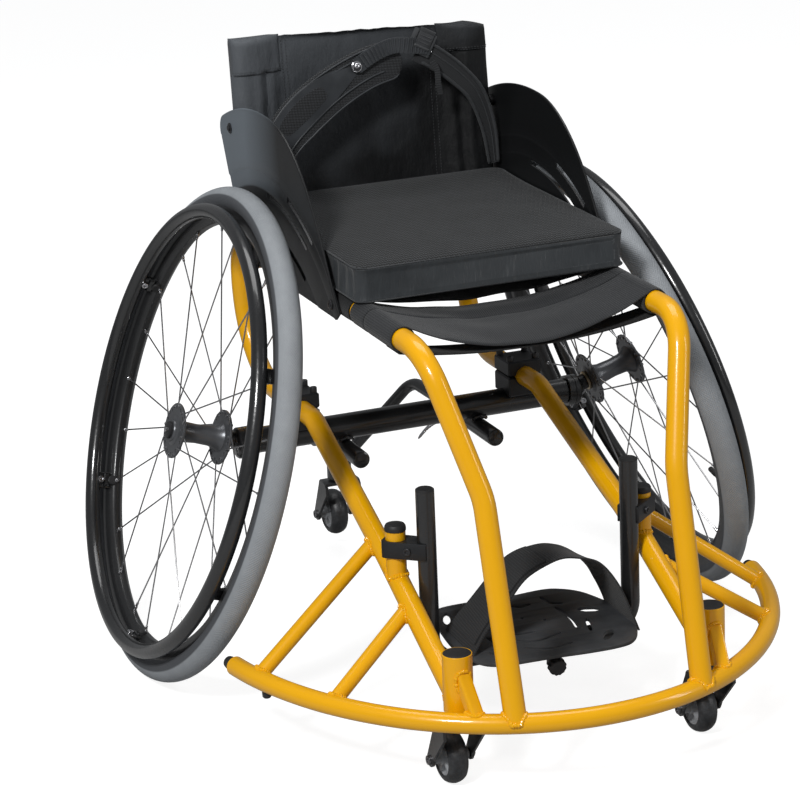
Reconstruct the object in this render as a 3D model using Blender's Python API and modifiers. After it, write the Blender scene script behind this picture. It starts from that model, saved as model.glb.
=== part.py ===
"""Basketball wheelchair: cambered wheels, welded tube frame with a bumper, and a centre anti-tip caster.

The chair faces -Y and stands on z = 0. Metres. Everything hangs on one empty that lies on the
floor below the wheel axles, so y is counted from the axles in all the sizes below.
Run with: blender --background --python part.py
"""
import bpy
import bmesh
from math import acos, asin, atan2, ceil, cos, pi, radians, sin, sqrt, tan
from mathutils import Matrix, Quaternion, Vector

GAP = 0.0003                    # left between faces that touch

# Rear wheels
CAMBER = radians(17.0)          # the tops lean in
WHEEL_X = 0.2852                # wheel plane at the axle
RIM_SEAT_R = 0.279
RIM_DEPTH = 0.0195
RIM_SHOULDER = 0.010            # below the seat, where the rim starts to narrow
RIM_HALF_WIDTH = 0.0118
RIM_HALF_FLAT = 0.004
TYRE_SECTION_R = 0.016
TYRE_PROUD = 0.010              # section centre over the rim's seat
HAND_RIM_DROP = 0.0086          # below the rim's seat
HAND_RIM_TUBE_R = 0.0095
HAND_RIM_OFFSET = 0.0289        # outboard of the wheel plane
HAND_RIM_TABS = 6
TAB_WIDTH = 0.018
TAB_THICKNESS = 0.004
WHEEL_STEPS = 40
SPOKES_PER_FLANGE = 12
SPOKE_R = 0.001
SPOKE_SWEEP = radians(30)       # from flange to rim
HUB_BORE_R = 0.0067
HUB_WAIST_R = 0.0125
HUB_WAIST = (0.010, -0.020)     # between these heights
HUB_ROOT_R = 0.0180             # where the barrel widens into a flange
HUB_NOSE_R = 0.0135
HUB_CAP_R = 0.0150
HUB_FLANGE_R = 0.034
HUB_FLANGE_THICKNESS = 0.0035
HUB_OUTER_FLANGE_Z = 0.0240
HUB_INNER_FLANGE_Z = -0.0369
HUB_OUTER_END_Z = 0.030
HUB_INNER_END_Z = -0.0405
SPOKE_HEAD_INSET = 0.003        # below the flange's edge
SPOKE_SPREAD = 0.0022           # of neighbouring spokes along the axle, at the rim
SPOKE_TOWARD_FLANGE = 0.005
AXLE_R = 0.0064
SPACER_R = 0.011                # washer between hub and camber plug
SPACER_LENGTH = 0.010
AXLE_INSERT = 0.026             # past the hub, into the plug
AXLE_HEAD_R = 0.0105
AXLE_HEAD_THICKNESS = 0.0042
BUTTON_R = 0.0033
BUTTON_STANDS_OUT = 0.0028
BUTTON_TRAVEL = 0.0020

# Camber tube across the chair, and what it carries
CAMBER_TUBE_R = 0.016
CAMBER_BORE_R = 0.0125
CAMBER_BORE_DEPTH = 0.045
CAMBER_TUBE_HALF = 0.2137
COLLAR_R = 0.0195
COLLAR_THICKNESS = 0.018
RECEIVER_X = 0.090
RECEIVER_R = 0.011
RECEIVER_BORE_R = 0.0083
RECEIVER_FRONT = -0.064
RECEIVER_REAR = 0.124
RECEIVER_CAP = 0.010
LUG_LENGTH = 0.020
LUG_DROP = 0.009
LEVER_EYE_R = 0.0058
LEVER_WIDTH = 0.010
LEVER_REACH = 0.036
LEVER_THICKNESS = 0.0036

# Side frames
RAIL_X = 0.155
RAIL_R = 0.0127
SEAT_RAIL_Z = 0.4925
LOOP_Y = 0.175
LOOP_TOP_R = 0.055
LOOP_SPLIT_Z = 0.430
KNEE_Y = -0.449
KNEE_R = 0.060
KINK = (0.1165, -0.511, 0.337)
KINK_R = 0.100
LEG_FOOT_X = 0.1135
LOWER_R = 0.0125
LOWER_OVER_CAMBER = 0.0360       # between the two tubes' axes
LOOP_BOTTOM_R = 0.100
CLAMP_X = 0.1495
LOWER_BEND = (-0.062, 0.045)    # y and bend radius
LOWER_DIP = (0.1545, -0.300, 0.213)
LOWER_DIP_R = 0.300
HOUSING_X = 0.1555
HOUSING_BEHIND_BUMPER = 0.040
HOUSING_R = 0.017
HOUSING_BORE_R = 0.0130
HOUSING_BOTTOM = 0.098
HOUSING_TOP = 0.1635
LOWER_MEETS_HOUSING_Z = 0.108
GUSSET_R = 0.0085
GUSSET_TOP_Z = 0.146
POST_Y = -0.339
POST_R = 0.0118
POST_TOP = 0.2490
POST_CAP_R = 0.0126
POST_CAP_THICKNESS = 0.0085

# Bumper: part of an ellipse at one height
BUMPER_Z = 0.097
BUMPER_R = 0.0115
BUMPER_HALF_WIDTH = 0.343
BUMPER_REACH = 0.405
BUMPER_CENTRE_Y = -0.192
BUMPER_END_Y = -0.275
TIP_LENGTH = 0.017
TIP_R = 0.0080
STRUT_R = 0.0088
FRONT_STRUT = (-0.377, 0.276)   # y on the lower tube, x on the bumper
REAR_STRUT = (-0.276, 0.325)

# Clamps that hold the lower tubes on the camber tube
CLAMP_HALF_X = 0.0225
CLAMP_HALF_Y = 0.0235
CLAMP_TOP = 0.0200              # above the lower tube's centre
CLAMP_SPLIT = 0.0012
CLAMP_FOOT = 0.0060             # below the top of the camber tube
CLAMP_BEVEL = 0.002

# Casters: two in front, and one behind that hangs clear of the floor
CASTER_R = 0.031
CASTER_HALF_WIDTH = 0.012
CASTER_TRAIL = 0.030
CASTER_BORE_R = 0.0034
CASTER_SPACER_R = 0.0062        # beside the hub, up to the fork
CASTER_PLAY = 0.0008            # between a spacer and the fork
FORK_BOLT_R = 0.0030
FORK_INNER_HALF = 0.0215
FORK_LEG = 0.0040
FORK_CROWN_HALF_Y = 0.0145
FORK_CROWN_Z = 0.0865           # top of the crown, over the wheel's lowest point
FORK_CROWN_THICKNESS = 0.0060
FORK_EYE_R = 0.0085
BOLT_HEAD_R = 0.0052
BOLT_HEAD = 0.0030
STEM_R = 0.0062
BEARING_R = 0.0127
BEARING_HEIGHT = 0.008
STEM_TOP = 0.150
ANTITIP_Y = 0.272
ANTITIP_TRAIL = 0.029
ANTITIP_LIFT = 0.017
ANTITIP_HOUSING_R = 0.0165
ANTITIP_HOUSING_HEIGHT = 0.044
ARM_R = 0.0079
ARM_INSERT_Y = -0.030
ARM_TURN = (0.083, 0.200, 0.249)
ARM_MEETS_Z = 0.128

# Footrest
FOOT_TUBE_X = 0.1275
FOOT_TUBE_Y = -0.3645
FOOT_TUBE_R = 0.0110
FOOT_TUBE_TOP = 0.304
FOOT_BAR_Z = 0.092
FOOT_BEND_R = 0.035
FOOT_CLAMP_BOTTOM = 0.2200
FOOT_CLAMP_TOP = 0.2400
POST_EYE_WALL = 0.0036
FOOT_EYE_WALL = 0.0030
PLATE_REAR_Y = -0.280
PLATE_FRONT_Y = -0.443
PLATE_TILT = radians(6.7)       # nose down
PLATE_MID_Z = 0.1160            # underside over the cross bar
PLATE_THICKNESS = 0.0045
PLATE_HALF_REAR = 0.088
PLATE_HALF_FRONT = 0.116
PLATE_RIBS = 3
RIB_SIZE = 0.0011               # half the width and half the height
PLATE_SLOT = (0.0035, 0.0115)   # half width and half length
PLATE_SLOTS = ((0.070, 0.056, 20), (0.090, -0.045, -25))    # x, y from the bar, turn in degrees
BRACKET_WALL = 0.005
BRACKET_HALF_WIDTH = 0.016
KNOB_R = 0.0105
KNOB_HALF_LENGTH = 0.007
KNOB_Y = -0.432
KNOB_DROP = 0.017               # below the plate
STRAP_THICKNESS = 0.002
FOOT_STRAP_WIDTH = 0.046
FOOT_STRAP_HALF = 0.098
FOOT_STRAP_TOP = 0.204
FOOT_STRAP_LIFT = 0.0056        # of its ends over the plate

# Back and seat
CANE_Y = 0.105
CANE_R = 0.0127
CANE_LEAN = radians(5)
CANE_TOP = 0.7300
CANE_FOOT = 0.4700
SOCKET_R = 0.0151
SOCKET_BOTTOM = 0.462
SOCKET_TOP = 0.524
CLOTH_WALL = 0.0022
CANVAS_BOTTOM = 0.530
CANVAS_TOP = 0.747
CANVAS_SAG = 0.012
CANVAS_PANEL = 0.0040
SLING_PANEL = 0.0035
FRONT_BAND = (-0.386, -0.306)
FRONT_BAND_SAG = 0.036
MAIN_SLING = (-0.200, 0.055)
MAIN_SLING_SAG = 0.022
CUSHION_HALF_WIDTH = 0.168
CUSHION_Y = (-0.286, 0.082)
CUSHION_HEIGHT = 0.043
CUSHION_CROWN = 0.006
CUSHION_CUTS = 5
CUSHION_PULL = 0.003            # how far the side band is drawn in

# Side guards: a moulded sheet laid out round the wheel's centre
GUARD_X = 0.1766                # outer face
GUARD_THICKNESS = 0.0025
GUARD_R = 0.377
GUARD_REAR_ANGLE = radians(65)
GUARD_TAPER_ANGLE = radians(95)
GUARD_FRONT_MARGIN = radians(4.1)   # past the front boss, round the wheel's centre
GUARD_FRONT_LAND = 0.012        # over the front boss
GUARD_BELOW_RAIL = 0.0145       # how far the bottom edge is under the rail's axis
GUARD_CORNER_R = 0.018
GUARD_COLUMNS = 17
STEPS_BELOW_EDGE = (0.128, 0.096, 0.066)
STEP_DEPTH = 0.0011
STEP_RUN = 0.003
SLOT_SETBACK = 0.0009           # from the foot of a step
SLOT_WIDTH = 0.0045
SLOTS = ((88, 121), (85, 114), (104, 121))   # first and last angle under each step
GUARD_BOSS_R = 0.0075
GUARD_BOSS_Y = (-0.214, 0.072)  # on the seat rail
GUARD_BOSS_LAND = 0.0164        # from the guard's edge to the boss on the back cane

# Lap belt, standing in an arch in front of the back
BELT_Y = 0.082
PAD_LINE = ((-0.147, 0.560), (-0.136, 0.597), (-0.107, 0.638), (-0.060, 0.674), (-0.008, 0.699),
            (0.040, 0.709))
PAD_THICKNESS = 0.007
PAD_FOOT_WIDTH = 0.036
PAD_WIDTH = 0.058
PAD_HEAD_WIDTH = 0.048
STRAP_LINE = ((0.084, 0.703), (0.114, 0.679), (0.139, 0.650), (0.154, 0.607), (0.160, 0.560))
BELT_THICKNESS = 0.004
BELT_WIDTH = 0.030
BELT_FOOT_WIDTH = 0.014         # where the strap turns edge on
BUCKLE_SIZE = (0.030, 0.009, 0.030)
BUCKLE_AT = (0.068, 0.724)
BUCKLE_ANGLE = radians(-28)
BUCKLE_LEVER_LENGTH = 0.024
BUCKLE_BARREL_R = 0.0032

FULL_TURN = 2 * pi
ARC_STEP = radians(20)
TUBE_SIDES = 10
SMALL_TUBE_SIDES = 8
SKEW = radians(4)               # turns the facets of a joint out of line with those they meet

# Worked out from the sizes above
TYRE_CENTRE_R = RIM_SEAT_R + TYRE_PROUD
RIM_INNER_R = RIM_SEAT_R - RIM_DEPTH
HAND_RIM_R = RIM_SEAT_R - HAND_RIM_DROP
HOUSING_Y = (BUMPER_CENTRE_Y - BUMPER_REACH * sqrt(1 - (HOUSING_X / BUMPER_HALF_WIDTH) ** 2)
             + HOUSING_BEHIND_BUMPER)
STEP_RADII = [GUARD_R - below for below in STEPS_BELOW_EDGE]
WHEEL_Z = TYRE_CENTRE_R * cos(CAMBER) + TYRE_SECTION_R
FRONT_BOSS = (GUARD_BOSS_Y[0], SEAT_RAIL_Z - WHEEL_Z)
GUARD_FRONT_R = sqrt(FRONT_BOSS[0] ** 2 + FRONT_BOSS[1] ** 2) + GUARD_FRONT_LAND
GUARD_FRONT_ANGLE = atan2(FRONT_BOSS[1], FRONT_BOSS[0]) + GUARD_FRONT_MARGIN
GUARD_BOTTOM_Z = SEAT_RAIL_Z - GUARD_BELOW_RAIL
CAMBER_Z = WHEEL_Z - (WHEEL_X - CAMBER_TUBE_HALF) * tan(CAMBER)
LOWER_Z = CAMBER_Z + LOWER_OVER_CAMBER
RECEIVER_Z = CAMBER_Z - CAMBER_TUBE_R - RECEIVER_R + 0.001
FRONT_REACH = BUMPER_REACH - BUMPER_CENTRE_Y + BUMPER_R
REAR_REACH = ANTITIP_Y + ANTITIP_TRAIL + CASTER_R
AXLE_Y = (FRONT_REACH - REAR_REACH) / 2

for old in list(bpy.data.objects):
    bpy.data.objects.remove(old, do_unlink=True)

CHAIR = bpy.data.collections.new("basketball_wheelchair")
TOOLS = bpy.data.collections.new("cutters")
bpy.context.scene.collection.children.link(CHAIR)
bpy.context.scene.collection.children.link(TOOLS)


def empty(name, matrix, parent=None):
    """An empty that marks a joint or carries a group."""
    marker = bpy.data.objects.new(name, None)
    CHAIR.objects.link(marker)
    marker.parent = parent
    marker.matrix_local = matrix
    return marker


ROOT = empty("wheelchair", Matrix.Translation((0, AXLE_Y, 0)))


def material(name, colour, roughness, metallic=0.0):
    """A plain painted, moulded or metal surface."""
    surface = bpy.data.materials.new(name)
    surface.use_nodes = True
    shader = surface.node_tree.nodes["Principled BSDF"]
    shader.inputs["Base Color"].default_value = (*colour, 1)
    shader.inputs["Roughness"].default_value = roughness
    shader.inputs["Metallic"].default_value = metallic
    surface.diffuse_color = (*colour, 1)
    return surface


YELLOW = material("yellow_paint", (0.90, 0.46, 0.01), 0.25)
BLACK = material("black_paint", (0.012, 0.012, 0.013), 0.3)
SATIN = material("satin_black_plastic", (0.02, 0.021, 0.022), 0.5)
PLUG = material("black_plug", (0.03, 0.03, 0.03), 0.6)
TYRE = material("grey_rubber", (0.25, 0.27, 0.29), 0.75)
CASTER_TYRE = material("caster_rubber", (0.05, 0.053, 0.057), 0.6)
STEEL = material("steel", (0.6, 0.6, 0.62), 0.3, 1.0)
CLOTH = material("black_cloth", (0.02, 0.021, 0.023), 0.9)
MESH_CLOTH = material("mesh_cloth", (0.015, 0.016, 0.018), 0.95)
WEBBING = material("webbing", (0.025, 0.026, 0.028), 0.9)


def place(thing, name, surface, matrix=Matrix(), parent=ROOT):
    """Name a part, give it its material and hang it on its parent."""
    thing.name = name
    thing.data.name = name
    thing.data.materials.clear()
    thing.data.materials.append(surface)
    thing.parent = parent
    thing.matrix_local = matrix
    return thing


def new_object(name, data, surface, matrix=Matrix(), parent=ROOT):
    """Link new mesh or curve data into the chair."""
    thing = bpy.data.objects.new(name, data)
    CHAIR.objects.link(thing)
    return place(thing, name, surface, matrix, parent)


def rounded_path(corners):
    """Points along straight runs whose corners, given as (point, radius), become arcs."""
    points = [Vector(corners[0][0])]
    for before, corner, after in zip(corners, corners[1:], corners[2:]):
        here = Vector(corner[0])
        back = (Vector(before[0]) - here).normalized()
        ahead = (Vector(after[0]) - here).normalized()
        half = back.angle(ahead) / 2
        centre = here + (back + ahead).normalized() * corner[1] / sin(half)
        start = here + back * corner[1] / tan(half) - centre
        end = here + ahead * corner[1] / tan(half) - centre
        turn = pi - 2 * half
        steps = max(1, ceil(turn / ARC_STEP))
        axis = start.cross(end).normalized()
        points += [centre + Quaternion(axis, turn * i / steps) @ start for i in range(steps + 1)]
    points.append(Vector(corners[-1][0]))
    return points


def smooth_path(points, per_span=4):
    """A smooth curve through a few chosen points."""
    knots = [Vector(p) for p in points]
    knots = [2 * knots[0] - knots[1]] + knots + [2 * knots[-1] - knots[-2]]
    path = []
    for a, b, c, d in zip(knots, knots[1:], knots[2:], knots[3:]):
        for i in range(per_span):
            t = i / per_span
            path.append(0.5 * (2 * b + (c - a) * t + (2 * a - 5 * b + 4 * c - d) * t ** 2
                               + (3 * b - a - 3 * c + d) * t ** 3))
    return path + [knots[-2]]


def tube(name, points, radius, surface, sides=TUBE_SIDES, parent=ROOT):
    """A round tube or rod along a line of points."""
    curve = bpy.data.curves.new(name, "CURVE")
    curve.dimensions = "3D"
    curve.fill_mode = "FULL"
    curve.bevel_depth = radius
    curve.bevel_resolution = (sides - 4) // 2
    curve.use_fill_caps = True
    spline = curve.splines.new("POLY")
    spline.points.add(len(points) - 1)
    for knot, point in zip(spline.points, points):
        knot.co = (*point, 1)
    return new_object(name, curve, surface, parent=parent)


def plate(name, outlines, thickness, surface, matrix=Matrix(), parent=ROOT):
    """A flat sheet from closed outlines, the first outside and the others its holes."""
    curve = bpy.data.curves.new(name, "CURVE")
    curve.dimensions = "2D"
    curve.fill_mode = "BOTH"
    curve.extrude = thickness / 2
    for outline in outlines:
        spline = curve.splines.new("POLY")
        spline.points.add(len(outline) - 1)
        spline.use_cyclic_u = True
        for knot, (u, v) in zip(spline.points, outline):
            knot.co = (u, v, 0, 1)
    return new_object(name, curve, surface, matrix, parent)


def as_mesh(thing):
    """Turn a curve object into a closed mesh, so that it can be cut or joined."""
    bpy.context.view_layer.update()
    evaluated = thing.evaluated_get(bpy.context.evaluated_depsgraph_get())
    mesh = bpy.data.meshes.new_from_object(evaluated)
    shape = bmesh.new()
    shape.from_mesh(mesh)
    bmesh.ops.remove_doubles(shape, verts=shape.verts, dist=0.00001)
    bmesh.ops.recalc_face_normals(shape, faces=shape.faces)
    shape.to_mesh(mesh)
    shape.free()
    name, surface = thing.name, thing.data.materials[0]
    matrix, parent = thing.matrix_local.copy(), thing.parent
    bpy.data.objects.remove(thing, do_unlink=True)
    return new_object(name, mesh, surface, matrix, parent)


def turned(name, profile, surface, matrix=Matrix(), parent=ROOT, steps=24):
    """A turned piece: (radius, z) points, top to bottom on the outside, round the local Z axis."""
    mesh = bpy.data.meshes.new(name)
    edges = [(i, i + 1) for i in range(len(profile) - 1)]
    if profile[0][0] > 0:
        edges.append((len(profile) - 1, 0))
    mesh.from_pydata([(r, 0, z) for r, z in profile], edges, [])
    piece = new_object(name, mesh, surface, matrix, parent)
    turn = piece.modifiers.new("turn", "SCREW")
    turn.steps = steps
    turn.render_steps = steps
    turn.use_merge_vertices = True
    turn.merge_threshold = 0.0001
    turn.use_smooth_shade = True
    return piece


def block(name, low, high, surface, matrix=Matrix(), parent=ROOT):
    """A box between two opposite corners."""
    shape = bmesh.new()
    bmesh.ops.create_cube(shape, size=1)
    low, high = Vector(low), Vector(high)
    for vertex in shape.verts:
        vertex.co = [(low[i] + high[i]) / 2 + vertex.co[i] * (high[i] - low[i]) for i in range(3)]
    mesh = bpy.data.meshes.new(name)
    shape.to_mesh(mesh)
    shape.free()
    return new_object(name, mesh, surface, matrix, parent)


def combine(target, operation, tool):
    """Join a piece to another or cut it with one; the tool is hidden away."""
    if tool.name not in TOOLS.objects:
        CHAIR.objects.unlink(tool)
        TOOLS.objects.link(tool)
        tool.hide_render = True
        tool.display_type = "WIRE"
    step = target.modifiers.new(operation.lower() + "_" + tool.name, "BOOLEAN")
    step.operation = operation
    step.object = tool


def join(target, *tools):
    for tool in tools:
        combine(target, "UNION", tool)


def cut(target, *tools):
    for tool in tools:
        combine(target, "DIFFERENCE", tool)


def soften(piece, width, segments=1):
    """Small bevels on the sharp edges."""
    edge = piece.modifiers.new("edges", "BEVEL")
    edge.width = width
    edge.segments = segments
    edge.limit_method = "ANGLE"
    edge.angle_limit = radians(40)


def ring(radius, middle_r, middle_z, count, first=0.0):
    """A round section for a turned ring, running down its outer side."""
    return [(middle_r + radius * cos(first - FULL_TURN * i / count),
             middle_z + radius * sin(first - FULL_TURN * i / count)) for i in range(count)]


def rod_profile(radius, top, bottom):
    return [(0, top), (radius, top), (radius, bottom), (0, bottom)]


def circle(radius, count=24, centre=(0, 0)):
    """A round hole whose flats stand at the radius."""
    corner = radius / cos(pi / count)
    return [(centre[0] + corner * cos(FULL_TURN * i / count),
             centre[1] + corner * sin(FULL_TURN * i / count)) for i in range(count)]


def axes(x, y, z, origin=(0, 0, 0)):
    """A placing whose local axes point along the given ones."""
    matrix = Matrix((Vector(x), Vector(y), Vector(z))).transposed().to_4x4()
    matrix.translation = Vector(origin)
    return matrix


def along_x(origin=(0, 0, 0)):
    return axes((0, 1, 0), (0, 0, 1), (1, 0, 0), origin)


def along_y(origin=(0, 0, 0)):
    return axes((1, 0, 0), (0, 0, 1), (0, -1, 0), origin)


def bumper_point(x):
    """The bumper's centre line at a distance from the middle of the chair."""
    y = BUMPER_CENTRE_Y - BUMPER_REACH * sqrt(1 - (x / BUMPER_HALF_WIDTH) ** 2)
    return Vector((x, y, BUMPER_Z))


def bumper_path():
    last = asin((BUMPER_CENTRE_Y - BUMPER_END_Y) / BUMPER_REACH)
    count = 26
    angles = [last + (pi - 2 * last) * i / count for i in range(count + 1)]
    return [Vector((BUMPER_HALF_WIDTH * cos(a), BUMPER_CENTRE_Y - BUMPER_REACH * sin(a), BUMPER_Z))
            for a in angles]


def on_side(points, side):
    return [Vector((side * p[0], p[1], p[2])) for p in points]


def rail_path(side):
    """Rear loop, seat rail, knee, leg with its kink, down to the bumper."""
    corners = [((RAIL_X, LOOP_Y, LOOP_SPLIT_Z + GAP / 2), 0),
               ((RAIL_X, LOOP_Y, SEAT_RAIL_Z), LOOP_TOP_R),
               ((RAIL_X, KNEE_Y, SEAT_RAIL_Z), KNEE_R),
               (KINK, KINK_R),
               (bumper_point(LEG_FOOT_X), 0)]
    return on_side(rounded_path(corners), side)


def lower_path(side):
    """Rear loop, over the camber tube, and down to the caster housing."""
    corners = [((RAIL_X, LOOP_Y, LOOP_SPLIT_Z - GAP / 2), 0),
               ((RAIL_X, LOOP_Y, LOOP_SPLIT_Z - 0.010), LOOP_BOTTOM_R),
               ((CLAMP_X, LOOP_Y, LOWER_Z), LOOP_BOTTOM_R),
               ((CLAMP_X, LOWER_BEND[0], LOWER_Z), LOWER_BEND[1]),
               (LOWER_DIP, LOWER_DIP_R),
               ((HOUSING_X, HOUSING_Y, LOWER_MEETS_HOUSING_Z), 0)]
    return on_side(rounded_path(corners), side)


def point_at_y(path, y):
    """Where a path crosses a given y, counted from its front end."""
    for a, b in zip(path[::-1], path[-2::-1]):
        if min(a.y, b.y) <= y <= max(a.y, b.y):
            return a.lerp(b, (y - a.y) / (b.y - a.y))
    raise ValueError("the path does not reach y = %g" % y)


def cane_matrix(side):
    """Along a back cane, from where its axis crosses the seat rail's height."""
    up = (0, sin(CANE_LEAN), cos(CANE_LEAN))
    back = (0, cos(CANE_LEAN), -sin(CANE_LEAN))
    across = Vector(back).cross(Vector(up))
    return axes(across, back, up, (side * RAIL_X, CANE_Y, SEAT_RAIL_Z))


def up_cane(z):
    """Distance along a cane to a height."""
    return (z - SEAT_RAIL_Z) / cos(CANE_LEAN)


# Frame

def build_bumper():
    """Front hoop, with plastic plugs at its ends."""
    path = bumper_path()
    tube("bumper", path, BUMPER_R, YELLOW)
    for side, name, end, before in ((1, "right", path[0], path[1]), (-1, "left", path[-1], path[-2])):
        direction = (end - before).normalized()
        start = end + direction * GAP
        tube("bumper_tip_" + name, [start, start + direction * TIP_LENGTH], TIP_R, PLUG,
             SMALL_TUBE_SIDES)
    return as_mesh(tube("bumper_cutter", path, BUMPER_R + GAP, YELLOW))


def build_side_frame(side, name, bumper_cutter):
    """One seat rail with its leg, and one lower tube with caster housing and footrest post."""
    rail = as_mesh(tube("rail_" + name, rail_path(side), RAIL_R, YELLOW))
    cane = cane_matrix(side)
    socket = turned("socket_" + name, rod_profile(SOCKET_R, up_cane(SOCKET_TOP), up_cane(SOCKET_BOTTOM)),
                    YELLOW, cane @ Matrix.Rotation(SKEW, 4, "Z"), steps=20)
    bore = turned("socket_bore_" + name, rod_profile(CANE_R + GAP, up_cane(SOCKET_TOP) + 0.01,
                                                     up_cane(CANE_FOOT) - GAP), YELLOW,
                  cane @ Matrix.Rotation(-SKEW, 4, "Z"), steps=20)
    join(rail, socket)
    cut(rail, bore, bumper_cutter)

    path = lower_path(side)
    lower = as_mesh(tube("lower_frame_" + name, path, LOWER_R, YELLOW))
    housing_place = Matrix.Translation((side * HOUSING_X, HOUSING_Y, 0)) @ Matrix.Rotation(SKEW, 4, "Z")
    housing = turned("housing_" + name, rod_profile(HOUSING_R, HOUSING_TOP, HOUSING_BOTTOM),
                     YELLOW, housing_place, steps=20)
    housing_bore = turned("housing_bore_" + name,
                          rod_profile(HOUSING_BORE_R, HOUSING_TOP + 0.01, HOUSING_BOTTOM - 0.01),
                          YELLOW, housing_place @ Matrix.Rotation(2 * SKEW, 4, "Z"), steps=20)
    gusset_foot = on_side([bumper_point(HOUSING_X - 0.005)], side)[0]
    gusset_head = Vector((side * HOUSING_X, HOUSING_Y - 0.5 * HOUSING_R, GUSSET_TOP_Z))
    gusset = as_mesh(tube("gusset_" + name, [gusset_head, gusset_foot], GUSSET_R, YELLOW,
                          SMALL_TUBE_SIDES))
    post_foot = point_at_y(path, POST_Y)
    post = turned("post_" + name, rod_profile(POST_R, POST_TOP, post_foot.z), YELLOW,
                  Matrix.Translation((side * HOUSING_X, POST_Y, 0)) @ Matrix.Rotation(SKEW, 4, "Z"),
                  steps=16)
    join(lower, housing, gusset, post)
    cut(lower, housing_bore, bumper_cutter)

    turned("housing_cap_" + name,
           [(0, HOUSING_TOP + 0.003), (HOUSING_R - 0.002, HOUSING_TOP + 0.003),
            (HOUSING_R - 0.0005, HOUSING_TOP + 0.0015), (HOUSING_R - 0.0005, HOUSING_TOP + GAP),
            (HOUSING_BORE_R - GAP, HOUSING_TOP + GAP), (HOUSING_BORE_R - GAP, HOUSING_TOP - 0.005),
            (0, HOUSING_TOP - 0.005)], PLUG, housing_place, steps=14)
    top = POST_TOP + GAP + POST_CAP_THICKNESS
    turned("post_cap_" + name,
           [(0, top), (POST_CAP_R - 0.002, top), (POST_CAP_R, top - 0.0015),
            (POST_CAP_R, POST_TOP + GAP), (0, POST_TOP + GAP)], PLUG,
           Matrix.Translation((side * HOUSING_X, POST_Y, 0)), steps=16)


def build_struts(side, name, bumper_cutter):
    """Two struts from the lower tube out to the bumper, coped at both ends."""
    path = lower_path(side)
    lower_cutter = as_mesh(tube("lower_cutter_" + name, path, LOWER_R + GAP, YELLOW))
    for place_name, (y, x) in (("front", FRONT_STRUT), ("rear", REAR_STRUT)):
        head = point_at_y(path, y)
        foot = on_side([bumper_point(x)], side)[0]
        strut = as_mesh(tube("strut_" + place_name + "_" + name, [head, foot], STRUT_R, YELLOW,
                             SMALL_TUBE_SIDES))
        cut(strut, lower_cutter, bumper_cutter)


def build_camber_tube():
    """The cross tube, open at its ends, with two anti-tip receivers welded below it."""
    camber = turned("camber_tube", rod_profile(CAMBER_TUBE_R, CAMBER_TUBE_HALF, -CAMBER_TUBE_HALF),
                    BLACK, along_x((0, 0, CAMBER_Z)), steps=20)
    for side, name in ((-1, "left"), (1, "right")):
        receiver = turned("receiver_" + name, rod_profile(RECEIVER_R, -RECEIVER_FRONT, -RECEIVER_REAR),
                          BLACK, along_y((side * RECEIVER_X, 0, RECEIVER_Z)), steps=14)
        lug = block("receiver_lug_" + name,
                    (side * RECEIVER_X - 0.006, RECEIVER_REAR - LUG_LENGTH,
                     RECEIVER_Z - RECEIVER_R - LUG_DROP),
                    (side * RECEIVER_X + 0.006, RECEIVER_REAR - 0.004, RECEIVER_Z - 0.0095), BLACK)
        join(camber, receiver, lug)
    for side, name in ((-1, "left"), (1, "right")):
        bore = turned("receiver_bore_" + name,
                      rod_profile(RECEIVER_BORE_R, -RECEIVER_FRONT - RECEIVER_CAP, -RECEIVER_REAR - 0.01),
                      BLACK, along_y((side * RECEIVER_X, 0, RECEIVER_Z)), steps=14)
        end = turned("camber_bore_" + name, rod_profile(CAMBER_BORE_R, CAMBER_BORE_DEPTH, -0.01), BLACK,
                     axes((0, side, 0), (0, 0, 1), (-side, 0, 0), (side * CAMBER_TUBE_HALF, 0, CAMBER_Z)))
        cut(camber, bore, end)


def build_clamp(side, name):
    """Two block halves that grip the lower tube and sit on the camber tube."""
    x = side * CLAMP_X
    camber_top = CAMBER_Z + CAMBER_TUBE_R
    upper = block("clamp_upper_" + name, (x - CLAMP_HALF_X, -CLAMP_HALF_Y, LOWER_Z + CLAMP_SPLIT / 2),
                  (x + CLAMP_HALF_X, CLAMP_HALF_Y, LOWER_Z + CLAMP_TOP), SATIN)
    lower = block("clamp_lower_" + name, (x - CLAMP_HALF_X, -CLAMP_HALF_Y, camber_top - CLAMP_FOOT),
                  (x + CLAMP_HALF_X, CLAMP_HALF_Y, LOWER_Z - CLAMP_SPLIT / 2), SATIN)
    reach = CLAMP_HALF_Y + 0.02
    groove = turned("clamp_groove_" + name, rod_profile((LOWER_R + GAP) / cos(pi / 16), reach, -reach),
                    SATIN, along_y((x, 0, LOWER_Z)), steps=16)
    saddle = turned("clamp_saddle_" + name,
                    rod_profile((CAMBER_TUBE_R + GAP) / cos(pi / 20), reach, -reach), SATIN,
                    along_x((x, 0, CAMBER_Z)), steps=20)
    for half in (upper, lower):
        soften(half, CLAMP_BEVEL)
        cut(half, groove)
    cut(lower, saddle)


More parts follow.
